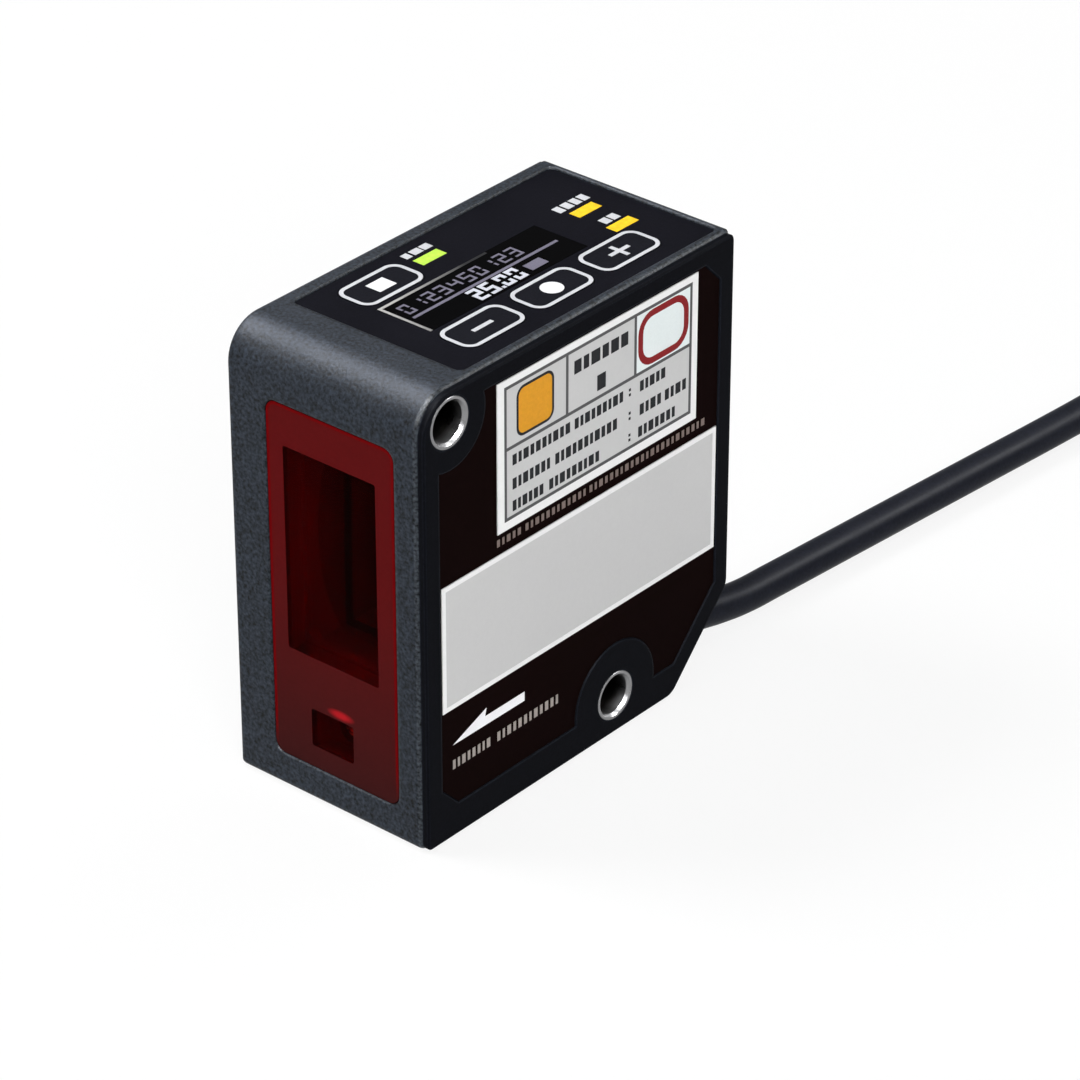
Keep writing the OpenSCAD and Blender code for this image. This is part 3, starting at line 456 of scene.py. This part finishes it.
turnedLooks = {
    "turnedSteel": {"color": (0.23, 0.23, 0.235), "stretch": (9000, 500, 500), "roughness": 0.3, "bump": 0.3,
                    "metallic": 1.0,
                    # painted shade: the bore turns dark deeper in
                    "boreShade": {"direction": (1, 0, 0), "start": 10.7, "end": 11.9,
                             "color": (0.045, 0.041, 0.038)}},
    "nickelPlate": {"color": (0.27, 0.265, 0.255), "stretch": (700, 6000, 700), "roughness": 0.45,
                    "bump": 0.15, "metallic": 1.0},
    "goldPlate": {"color": (0.70, 0.48, 0.17), "stretch": (900, 6000, 900), "roughness": 0.25, "bump": 0.15,
                  "metallic": 1.0},
    "screwSteel": {"color": (0.42, 0.42, 0.43), "stretch": (6000, 900, 900), "roughness": 0.35, "bump": 0.2,
                   "metallic": 1.0},
}
for name, spec in turnedLooks.items():
    materials[name] = turnedMaterial(name, spec)

clearLooks = {
    "redWindow": {"color": (0.62, 0.035, 0.035), "contrast": 0.02, "roughness": 0.03, "ior": 1.04,
                  "transmission": 1.0},
    "smokedLens": {"color": (0.85, 0.62, 0.62), "contrast": 0.02, "roughness": 0.02, "ior": 1.04,
                   "transmission": 1.0},
    "clearLens": {"color": (0.85, 0.88, 0.92), "contrast": 0.02, "roughness": 0.02, "ior": 1.15,
                  "transmission": 1.0},
}
for name, spec in clearLooks.items():
    materials[name] = clearMaterial(name, spec)
print("materials made:", len(materials))

nodeLooks = {
    "housingPaint": ["housing"],
    "coverBlack": ["side_cover"],
    "softBlack": ["cover_gasket", "cable_bush", "plug_seal"],
    "screwSteel": ["cover_screws", "board_screws"],
    "turnedSteel": ["upper_bushing", "lower_bushing"],
    "labelFilm": ["side_label"],
    "plateGray": ["data_plate", "name_plate"],
    "redWindow": ["front_window"],
    "opticsFrame": ["window_seal", "optics_frame"],
    "smokedLens": ["receiver_lens"],
    "clearLens": ["emitter_lens"],
    "goldPlate": ["laser_holder", "laser_diode", "plug_pins"],
    "boardGreen": ["sensor_board", "main_board", "display_board"],
    "chipBlack": ["image_sensor", "board_chips", "display_module", "key_switches", "square_plunger",
                  "minus_plunger", "dot_plunger", "plus_plunger"],
    "panelFilm": ["control_panel"],
    "displayGlass": ["display_window"],
    "keyTop": ["square_key", "minus_key", "dot_key", "plus_key"],
    "greenLight": ["power_light_guide"],
    "yellowLight": ["output_light_guides"],
    "lampPackage": ["indicator_lamps"],
    "jacket": ["cable"],
    "blackMoulding": ["plug_body", "plug_insert"],
    "nickelPlate": ["coupling_screw"],
}
for look, names in nodeLooks.items():
    for name in names:
        for slot in nodes[name].material_slots:
            slot.material = materials[look]
print("CAD nodes dressed:", sum(len(names) for names in nodeLooks.values()))


# stage
stage = {"floorColor": (0.86, 0.86, 0.86), "floorHalf": 3.0, "floorDrop": 0.00004, "roughness": 0.9,
         "specular": 0.05, "cameraWhite": 0.85, "world": 0.3}


def addFloor(spec):
    mesh = bpy.data.meshes.new("paperFloor")
    half, drop = spec["floorHalf"], spec["floorDrop"]
    corners = [(x * half, y * half, -drop) for x, y in ((-1, -1), (1, -1), (1, 1), (-1, 1))]
    mesh.from_pydata(corners, [], [(0, 1, 2, 3)])
    floor = bpy.data.objects.new("paperFloor", mesh)
    scene.collection.objects.link(floor)
    material, tree, shader = startMaterial("paperFloor")
    shader.inputs["Base Color"].default_value = (*spec["floorColor"], 1)
    shader.inputs["Roughness"].default_value = spec["roughness"]
    shader.inputs["Specular IOR Level"].default_value = spec["specular"]
    glow = addNode(tree, "ShaderNodeEmission", Color=(1, 1, 1, 1), Strength=1.0)
    path = tree.nodes.new("ShaderNodeLightPath")
    seen = calc(tree, "MAXIMUM", path.outputs["Is Camera Ray"], path.outputs["Is Glossy Ray"])
    seen = calc(tree, "MAXIMUM", seen, path.outputs["Is Transmission Ray"])
    share = calc(tree, "MULTIPLY", seen, spec["cameraWhite"])
    setSurface(tree, share, shader, glow)
    mesh.materials.append(material)


def addWorld(strength):
    world = bpy.data.worlds.new("studio")
    scene.world = world
    world.use_nodes = True
    background = world.node_tree.nodes["Background"]
    background.inputs["Color"].default_value = (1, 1, 1, 1)
    background.inputs["Strength"].default_value = strength


lampAim = (0, 0, 25)
lamps = {
    "keyLamp": {"way": (-0.557, -0.306, 0.772), "away": 1400, "size": 470, "watts": 13.0},
    "fillLamp": {"way": (0.64, -0.54, 0.55), "away": 1400, "size": 570, "watts": 11.2},
    "topLamp": {"way": (0.08, 0.57, 0.82), "away": 1400, "size": 570, "watts": 2.2},
    "sheenLamp": {"way": (-0.557, -0.04, 0.83), "away": 1400, "size": 900, "watts": 72.0, "sheenOnly": True,
                  "color": (0.86, 0.90, 1.0)},
    "glintLamp": {"way": (0.175, -0.83, 0.53), "away": 1400, "size": 420, "watts": 45.0, "sheenOnly": True},
    "rimLamp": {"way": (0.489, 0.655, 0.576), "away": 1400, "size": 500, "watts": 20.0, "sheenOnly": True},
    "edgeLamp": {"way": (0.24, -0.28, 0.93), "away": 1400, "size": 800, "watts": 120.0, "sheenOnly": True},
    "boreLamp": {"way": (0.42, -0.29, 0.86), "away": 1400, "size": 360, "watts": 25.0, "sheenOnly": True},
}


def addLamp(name, spec):
    data = bpy.data.lights.new(name, "AREA")
    data.shape = "SQUARE"
    data.size = spec["size"] * mm
    data.energy = spec["watts"]
    data.color = spec.get("color", (1, 1, 1))
    obj = bpy.data.objects.new(name, data)
    scene.collection.objects.link(obj)
    way = Vector(spec["way"]).normalized()
    obj.location = (Vector(lampAim) + way * spec["away"]) * mm
    obj.rotation_euler = way.to_track_quat("Z", "Y").to_euler()
    plain = not spec.get("sheenOnly", False)  # a sheen lamp shows in reflections only
    obj.visible_diffuse = obj.visible_transmission = plain


addFloor(stage)
addWorld(stage["world"])
for name, spec in lamps.items():
    addLamp(name, spec)
print("stage lit")


# cable: the same route as its solid, from inside the bush to the plug
cable = {
    "exit": (7.05, 21.1, 3.4), "length": 150, "diameter": 3.8, "lie": 1.9, "start": (7.05, 13.4, 3.4),
    "roundSteps": 7, "alongSteps": 8,
    "steps": [
        (0, 0, 1.5), (0.15, 3.2, 1.3), (0.45, 6.7, 0.7), (0.7, 10.7, 0.15), (0.95, 15.2, 0), (1.7, 24.2, 0),
        (2.45, 33.2, 0), (3.2, 42.2, 0), (3.95, 51.2, 0), (4.7, 60.2, 0), (5.3, 69.2, 0), (5.6, 78.2, 0),
        (5.7, 87.2, 0), (5.7, 96.2, 0), (5.7, 105.2, 0), (5.7, 114.2, 0), (5.7, 122.2, 0.217),
        (5.7, 128.2, 0.899), (5.7, 134.2, 2.015), (5.7, 139.2, 2.79), (5.7, 144.2, 3.1), (5.7, 147.2, 3.1),
    ],
}


def addCable(spec):
    x, y, _ = spec["exit"]
    route = [spec["start"]] + [(x + dx, y + dy, spec["lie"] + dz) for dx, dy, dz in spec["steps"]]
    curve = bpy.data.curves.new("cableJacket", "CURVE")
    curve.dimensions = "3D"
    curve.bevel_depth = spec["diameter"] / 2 * mm
    curve.bevel_resolution = spec["roundSteps"]
    curve.resolution_u = spec["alongSteps"]
    curve.use_fill_caps = True
    spline = curve.splines.new("BEZIER")
    spline.bezier_points.add(len(route) - 1)
    for point, place in zip(spline.bezier_points, route):
        point.co = Vector(place) * mm
        point.handle_left_type = point.handle_right_type = "AUTO"
    obj = bpy.data.objects.new("cableJacket", curve)
    scene.collection.objects.link(obj)
    curve.materials.append(materials["jacket"])
    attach(obj, "sensor")
    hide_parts("cable")
    return obj


cableJacket = addCable(cable)
print("cable laid")


# flat and turned meshes
def roundedLoop(size, radius, steps=6):
    loop = []
    for cornerX, cornerY, turn in ((1, 1, 0), (-1, 1, 90), (-1, -1, 180), (1, -1, 270)):
        for i in range(steps + 1):
            a = math.radians(turn + 90 * i / steps)
            loop.append((cornerX * (size[0] / 2 - radius) + radius * math.cos(a),
                         cornerY * (size[1] / 2 - radius) + radius * math.sin(a)))
    return loop


def boxLoop(low, high):
    return [(low[0], low[1]), (high[0], low[1]), (high[0], high[1]), (low[0], high[1])]


def turnAngles(steps):
    return [2 * math.pi * i / steps for i in range(steps)]


def discLoop(radius, steps=40):
    return [(radius * math.cos(a), radius * math.sin(a)) for a in turnAngles(steps)]


def moved(loop, place):
    return [(u + place[0], v + place[1]) for u, v in loop]


def addPlate(mesh, loop, toWorld, low, high):
    bottom = [mesh.verts.new(toWorld(u, v, low)) for u, v in loop]
    top = [mesh.verts.new(toWorld(u, v, high)) for u, v in loop]
    mesh.faces.new(top)
    mesh.faces.new(list(reversed(bottom)))
    for i in range(len(loop)):
        j = (i + 1) % len(loop)
        mesh.faces.new((bottom[i], bottom[j], top[j], top[i]))


def addRing(mesh, outer, inner, toWorld, low, high):
    rows = [[mesh.verts.new(toWorld(u, v, h)) for u, v in loop]
            for loop, h in ((outer, low), (outer, high), (inner, high), (inner, low))]
    for i in range(len(outer)):
        j = (i + 1) % len(outer)
        for k in range(len(rows)):
            a, b = rows[k], rows[(k + 1) % len(rows)]
            mesh.faces.new((a[i], a[j], b[j], b[i]))


def finishMesh(mesh, name, look, body):
    bmesh.ops.recalc_face_normals(mesh, faces=mesh.faces)
    data = bpy.data.meshes.new(name)
    mesh.to_mesh(data)
    mesh.free()
    data.materials.append(materials[look])
    obj = bpy.data.objects.new(name, data)
    scene.collection.objects.link(obj)
    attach(obj, body)
    return obj


def onTop(height):
    return lambda u, v, h: Vector((u, v, height + h)) * mm


def onSide(face):
    return lambda u, v, h: Vector((face + h, u, v)) * mm


def onFront(face):
    return lambda u, v, h: Vector((u, face - h, v)) * mm


def addHoled(mesh, loops, toWorld, low, high):
    points = [point for loop in loops for point in loop]
    rows = [[mesh.verts.new(toWorld(u, v, h)) for u, v in points] for h in (low, high)]
    for corners in tessellate_polygon([[Vector((u, v, 0)) for u, v in loop] for loop in loops]):
        mesh.faces.new([rows[1][i] for i in corners])
        mesh.faces.new([rows[0][i] for i in reversed(corners)])
    start = 0
    for loop in loops:
        for i in range(len(loop)):
            a, b = start + i, start + (i + 1) % len(loop)
            mesh.faces.new((rows[0][a], rows[0][b], rows[1][b], rows[1][a]))
        start += len(loop)


printLow = -0.01  # prints reach a little into what they lie on
printHigh = 0.015


def addPrint(name, plates, rings, toWorld, look, body, high=printHigh):
    mesh = bmesh.new()
    for loop in plates:
        addPlate(mesh, loop, toWorld, printLow, high)
    for outer, inner in rings:
        addRing(mesh, outer, inner, toWorld, printLow, high)
    return finishMesh(mesh, name, look, body)


def barLoop(place, size):
    u, v = size[0] / 2, size[1] / 2
    return boxLoop((place[0] - u, place[1] - v), (place[0] + u, place[1] + v))


def grown(box, by):
    return (box[0][0] - by, box[0][1] - by), (box[1][0] + by, box[1][1] + by)


markWidths = (1.0, 0.75, 1.25, 0.9, 1.1)  # repeated along a row of marks


def dashes(start, end, low, high, dash, gap):
    count = max(1, round((end - start + gap) / (dash + gap)))
    widths = [dash * markWidths[i % len(markWidths)] for i in range(count)]
    fit = (end - start + gap) / (sum(widths) + gap * count)
    loops, at = [], start
    for width in widths:
        loops.append(boxLoop((at, low), (at + width * fit, high)))
        at += (width + gap) * fit
    return loops


# key prints: an outline and a symbol on each key
keyPrint = {"size": (4.8, 8.8), "inset": 0.05, "line": 0.44, "radius": 1.45, "corner": 10,
            "square": (1.95, 2.4), "dot": 1.2, "minus": (0.5, 2.8), "plus": (0.5, 2.4, 2.9)}


def plusLoop(c, width, across, along):
    w, a, h = width / 2, across / 2, along / 2
    right = [(w, -h), (w, -w), (a, -w), (a, w), (w, w), (w, h)]
    return moved(right + [(-u, -v) for u, v in right], c)


def addKeyPrints(spec):
    symbols = {
        "square": ("whitePrint", lambda c: barLoop(c, spec["square"])),
        "minus": ("outlinePrint", lambda c: barLoop(c, spec["minus"])),
        "dot": ("whitePrint", lambda c: moved(discLoop(spec["dot"]), c)),
        "plus": ("outlinePrint", lambda c: plusLoop(c, *spec["plus"])),
    }
    outerSize = [s - 2 * spec["inset"] for s in spec["size"]]
    innerSize = [s - 2 * spec["line"] for s in outerSize]
    for key, (look, symbol) in symbols.items():
        low, high = (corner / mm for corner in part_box(key + "_key"))
        centre = ((low.x + high.x) / 2, (low.y + high.y) / 2)
        outer = moved(roundedLoop(outerSize, spec["radius"], spec["corner"]), centre)
        inner = moved(roundedLoop(innerSize, spec["radius"] - spec["line"], spec["corner"]), centre)
        top = onTop(high.z)
        addPrint(key + "KeyOutline", [], [(outer, inner)], top, "outlinePrint", key + "_button")
        addPrint(key + "KeySymbol", [symbol(centre)], [], top, look, key + "_button")


addKeyPrints(keyPrint)
print("keys printed")


# display: rows read along +Y with their tops towards -X
display = {"rim": 0.34, "rimEnd": 4.0, "rimInset": 0.02,
           "line": ((-0.05, -10.7), (0.33, 10.5)), "unit": ((1.1, 4.15), (2.45, 6.55)),
           "scale": {"text": "0123450123", "base": -0.55, "start": -10.4, "size": (1.2, 1.9), "pitch": 1.74,
                     "bar": 0.27},
           "value": {"text": "25.00", "base": 2.8, "start": -3.75, "size": (1.35, 2.3), "pitch": 1.72,
                     "bar": 0.42, "pointGap": 0.2}}
digitBars = {"0": "abcdef", "1": "bc", "2": "abged", "3": "abgcd", "4": "fgbc", "5": "afgcd"}


def digitLoops(digit, base, start, size, bar):
    w, h = size
    mid = (h - bar) / 2
    boxes = {
        "a": (0, h - bar, w, h), "g": (0, mid, w, mid + bar), "d": (0, 0, w, bar),
        "f": (0, mid + bar, bar, h - bar), "b": (w - bar, mid + bar, w, h - bar),
        "e": (0, bar, bar, mid), "c": (w - bar, bar, w, mid),
    }
    bars = [boxes[k] for k in digitBars[digit]]
    return [boxLoop((base - top, start + left), (base - low, start + right))
            for left, low, right, top in bars]


def textLoops(spec):
    loops, at = [], spec["start"]
    for mark in spec["text"]:
        if mark == ".":
            at += spec["size"][0] - spec["pitch"] + spec["pointGap"]
            loops.append(boxLoop((spec["base"] - spec["bar"], at), (spec["base"], at + spec["bar"])))
            at += spec["bar"] + spec["pointGap"]
        else:
            loops += digitLoops(mark, spec["base"], at, spec["size"], spec["bar"])
            at += spec["pitch"]
    return loops


def addDisplay(spec):
    low, high = (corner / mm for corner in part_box("display_window"))
    top = onTop(high.z)
    scale = textLoops(spec["scale"]) + [boxLoop(*spec["line"])]
    addPrint("displayScale", scale, [], top, "displayDim", "sensor")
    addPrint("displayUnit", [boxLoop(*spec["unit"])], [], top, "displayDim", "sensor")
    addPrint("displayValue", textLoops(spec["value"]), [], top, "displayLit", "sensor")
    # a painted reflection along the front and left edges of the display window
    inset, wide, end = spec["rimInset"], spec["rim"], spec["rimEnd"]
    x, y, right = low.x + inset, low.y + inset, high.x - inset
    rim = [(x, y), (right, y), (right, y + wide), (x + wide, y + wide), (x + wide, end), (x, end)]
    addPrint("displayEdgeGlint", [rim], [], top, "displayEdgeGlint", "sensor")


addDisplay(display)
print("display drawn")


# short marks on the panel beside the three lights
legend = {"green": (-9.35, -8.35, [(-2.05, -1.2), (-0.85, 0.4), (0.6, 1.75)]),
          "leftYellow": (-4.6, -3.35, [(15.2, 16.1), (16.4, 17.4), (17.7, 18.6), (18.9, 19.8)]),
          "rightYellow": (0.45, 1.6, [(16.35, 17.35), (17.6, 18.6)])}


def addLegends(spec):
    top = onTop(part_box("control_panel")[1].z / mm)
    for name, (left, right, spans) in spec.items():
        loops = [boxLoop((left, start), (right, end)) for start, end in spans]
        addPrint(name + "Legend", loops, [], top, "outlinePrint", "sensor")


addLegends(legend)
print("legends printed")


# front window: printed red border round the two openings, painted lighter towards the top, with a painted
# highlight along the rim and a painted glint above the emitter
windowPrint = {"receiver": ((-5.45, 16.7), (6.4, 39.3)), "emitter": ((-2.6, 6.5), (2.9, 10.75)),
               "inset": 0.04, "rim": 0.34, "radius": 1.26, "corner": 10, "holeRadius": 0.25, "holeCorner": 4}


def addWindowPrint(spec):
    low, high = (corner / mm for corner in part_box("front_window"))
    centre = ((low.x + high.x) / 2, (low.z + high.z) / 2)
    size = (high.x - low.x - 2 * spec["inset"], high.z - low.z - 2 * spec["inset"])
    inner = tuple(s - 2 * spec["rim"] for s in size)
    front = onFront(low.y)
    edge = moved(roundedLoop(inner, spec["radius"] - spec["rim"], spec["corner"]), centre)
    holes = []
    for hole in ("receiver", "emitter"):
        (x0, z0), (x1, z1) = spec[hole]
        loop = roundedLoop((x1 - x0, z1 - z0), spec["holeRadius"], spec["holeCorner"])
        holes.append(moved(loop, ((x0 + x1) / 2, (z0 + z1) / 2)))
    mesh = bmesh.new()
    addHoled(mesh, [edge] + holes, front, printLow, printHigh)
    finishMesh(mesh, "windowPrint", "windowPrint", "sensor")
    outer = moved(roundedLoop(size, spec["radius"], spec["corner"]), centre)
    addPrint("windowRimGlint", [], [(outer, edge)], front, "windowRimGlint", "sensor")


addWindowPrint(windowPrint)
print("window printed")


# label prints: plain fields, lines and rows of dashes, with a painted highlight along each plate's edge
dataPrint = {"inset": 0.03, "frame": ((-11.8, 32.3), (16.5, 47.0)), "line": 0.36, "rowLine": 40.15,
             "cellLines": (-2.55, 7.75), "fieldHigh": 0.01,
             "amber": {"place": (-7.25, 43.5), "size": 4.9, "radius": 0.8, "line": 0.3},
             "red": {"place": (12.05, 43.5), "size": (7.8, 6.0), "radius": 2.2, "line": 0.75},
             "heads": [(44.15, 45.6, [(-1.5, 6.6)]), (40.9, 42.6, [(1.95, 3.3)])],
             "headMarks": {"dash": 1.1, "gap": 0.35},
             "rows": [(38.1, 39.25, [(-10.6, -2.1), (-1.4, 5.9), (8.5, 12.4)]),
                      (35.45, 36.65, [(-10.6, -5.1), (-4.3, 5.0), (8.5, 11.8), (12.4, 15.7)]),
                      (33.05, 34.2, [(-10.6, -6.1), (-5.2, 2.3), (8.3, 14.0)])],
             "dash": 0.6, "gap": 0.26, "dots": (6.95, 0.3)}
labelPrint = {"thinRow": (29.95, 30.75, [(-12.8, -9.3), (-8.6, 0.4), (1.0, 18.9)]),
              "strokeRow": (7.95, 9.0, [(-19.5, -14.0), (-12.9, -3.7)]), "dash": 0.42, "gap": 0.36,
              "arrow": [(-19.5, 10.75), (-8.8, 10.7), (-8.8, 11.75), (-14.7, 11.75), (-14.5, 12.65)],
              "inset": 0.03, "edge": 0.55}


def faceBox(node):
    low, high = (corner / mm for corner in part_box(node))
    return onSide(high.x), ((low.y, low.z), (high.y, high.z))


def rowLoops(row, spec):
    low, high, spans = row
    return [loop for start, end in spans for loop in dashes(start, end, low, high, spec["dash"], spec["gap"])]


def addDataPrint(spec):
    def onPlate(name, look, plates, rings=(), high=printHigh):
        addPrint(name, plates, rings, face, look, "sensor", high)

    face, box = faceBox("data_plate")
    outline, half = spec["frame"], spec["line"] / 2
    (y0, z0), (y1, z1) = grown(outline, -spec["line"])
    # a painted highlight along the data plate's edge
    onPlate("dataBorder", "plateEdgeGlint", [], [(boxLoop(*grown(box, -spec["inset"])), boxLoop(*outline))])
    rowLow, rowHigh = spec["rowLine"] - half, spec["rowLine"] + half
    bars = [boxLoop((y0, rowLow), (y1, rowHigh))]
    bars += [boxLoop((y - half, rowHigh), (y + half, z1)) for y in spec["cellLines"]]
    onPlate("dataLines", "linePrint", bars, [(boxLoop(*outline), boxLoop((y0, z0), (y1, z1)))])
    field = boxLoop((spec["cellLines"][1] + half, rowHigh), (y1, z1))
    onPlate("dataField", "fieldPrint", [field], high=spec["fieldHigh"])
    amber, red = spec["amber"], spec["red"]
    inner = moved(roundedLoop((amber["size"],) * 2, amber["radius"]), amber["place"])
    wide = amber["size"] + 2 * amber["line"]
    outer = moved(roundedLoop((wide, wide), amber["radius"] + amber["line"]), amber["place"])
    onPlate("amberField", "amberPrint", [inner])
    redOuter = moved(roundedLoop(red["size"], red["radius"]), red["place"])
    redSize = [s - 2 * red["line"] for s in red["size"]]
    redInner = moved(roundedLoop(redSize, red["radius"] - red["line"]), red["place"])
    onPlate("redField", "redPrint", [], [(redOuter, redInner)])
    marks = [loop for row in spec["heads"] for loop in rowLoops(row, spec["headMarks"])]
    marks += [loop for row in spec["rows"] for loop in rowLoops(row, spec)]
    at, dot = spec["dots"]
    marks += [barLoop((at, z), (dot, dot)) for low, high, _ in spec["rows"] for z in (low + dot, high - dot)]
    onPlate("dataRows", "darkPrint", marks, [(outer, inner)])


def addLabelPrint(spec):
    film, _ = faceBox("side_label")
    for name, look in (("thinRow", "beigePrint"), ("strokeRow", "palePrint")):
        addPrint(name, rowLoops(spec[name], spec), [], film, look, "sensor")
    addPrint("beamArrow", [spec["arrow"]], [], film, "whitePrint", "sensor")
    face, box = faceBox("name_plate")
    # a painted highlight along the name plate's edge
    edge = [(boxLoop(*grown(box, -spec["inset"])), boxLoop(*grown(box, -spec["edge"])))]
    addPrint("nameBorder", [], edge, face, "plateEdgeGlint", "sensor")


addDataPrint(dataPrint)
addLabelPrint(labelPrint)
print("label printed")


# turned bushings in place of the plain rings
bushing = {"outer": 2.7, "bore": 2.15, "half": 12.48, "bevel": 0.05, "mouth": 2.33, "flare": 0.36,
           "ease": 0.2, "sides": 96, "sharp": 30}


def smoothByAngle(obj, angle):
    obj.data.shade_smooth()
    obj.data.set_sharp_from_angle(angle=math.radians(angle))


def addBushing(name, node, spec):
    low, high = (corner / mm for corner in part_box(node))
    y, z = (low.y + high.y) / 2, (low.z + high.z) / 2
    half, b = spec["half"], spec["bevel"]
    throat = half - spec["flare"]
    right = [(half - b, spec["outer"]), (half, spec["outer"] - b), (half, spec["mouth"] + b),
             (half - b, spec["mouth"]), (throat, spec["bore"]), (throat - spec["ease"], spec["bore"])]
    profile = right + [(-x, r) for x, r in reversed(right)]
    mesh = bmesh.new()
    rings = []
    for a in turnAngles(spec["sides"]):
        c, s = math.cos(a), math.sin(a)
        rings.append([mesh.verts.new(Vector((x, y + r * c, z + r * s)) * mm) for x, r in profile])
    for i in range(spec["sides"]):
        near, far = rings[i], rings[(i + 1) % spec["sides"]]
        for k in range(len(profile)):
            m = (k + 1) % len(profile)
            mesh.faces.new((near[k], far[k], far[m], near[m]))
    obj = finishMesh(mesh, name, "turnedSteel", "sensor")
    smoothByAngle(obj, spec["sharp"])
    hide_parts(node)


addBushing("upperBushing", "upper_bushing", bushing)
addBushing("lowerBushing", "lower_bushing", bushing)
print("bushings turned")


# coupling screw of the plug: knurled ring, undercut for the seal ring, and a cut thread
coupling = {"axis": (12.75, 5), "start": 190.7, "knurlEnd": 196.7, "end": 203.2, "knurlRadius": 4.78,
            "grooves": 24, "grooveDepth": 0.32, "bevel": 0.35, "neck": 3.55, "seat": 197.7, "crest": 3.98,
            "threadDepth": 0.5, "pitch": 1.0, "flank": 1.25, "bore": 2.92, "sides": 144, "threadRows": 52,
            "sharp": 35}


def addCoupling(spec):
    def knurl(drop):
        top = spec["knurlRadius"] - drop
        return lambda a: top - spec["grooveDepth"] * max(0.0, math.cos(spec["grooves"] * a)) ** 2

    def plain(radius):
        return lambda a: radius

    def thread(y):
        def radius(a):
            turn = ((y - spec["seat"]) / spec["pitch"] - a / (2 * math.pi)) % 1
            rise = 1 - abs(2 * turn - 1)
            ends = min(1, (y - spec["seat"]) / spec["pitch"], (spec["end"] - y) / spec["pitch"])
            return spec["crest"] - spec["threadDepth"] * (1 - min(1, spec["flank"] * rise) * max(0, ends))
        return radius

    b, bore = spec["bevel"], spec["bore"]
    start, knurlEnd, seat, end = spec["start"], spec["knurlEnd"], spec["seat"], spec["end"]
    rows = [
        (start, plain(bore + b)), (start, knurl(b)), (start + b, knurl(0)), (knurlEnd - b, knurl(0)),
        (knurlEnd, knurl(b)), (knurlEnd, plain(spec["neck"])), (seat, plain(spec["neck"])),
    ]
    for i in range(1, spec["threadRows"]):
        y = seat + (end - seat) * i / spec["threadRows"]
        rows.append((y, thread(y)))
    rows += [(end, plain(bore + b)), (end - b, plain(bore)), (start + b, plain(bore))]
    x, z = spec["axis"]
    mesh = bmesh.new()
    loops = []
    for y, radius in rows:
        ring = [(a, radius(a)) for a in turnAngles(spec["sides"])]
        points = [Vector((x + r * math.cos(a), y, z + r * math.sin(a))) * mm for a, r in ring]
        loops.append([mesh.verts.new(point) for point in points])
    for k in range(len(loops)):
        near, far = loops[k], loops[(k + 1) % len(loops)]
        for i in range(spec["sides"]):
            j = (i + 1) % spec["sides"]
            mesh.faces.new((near[i], near[j], far[j], far[i]))
    obj = finishMesh(mesh, "couplingScrew", "nickelPlate", "plug_screw")
    smoothByAngle(obj, spec["sharp"])
    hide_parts("coupling_screw")
    return obj


couplingScrew = addCoupling(coupling)
print("plug threaded")
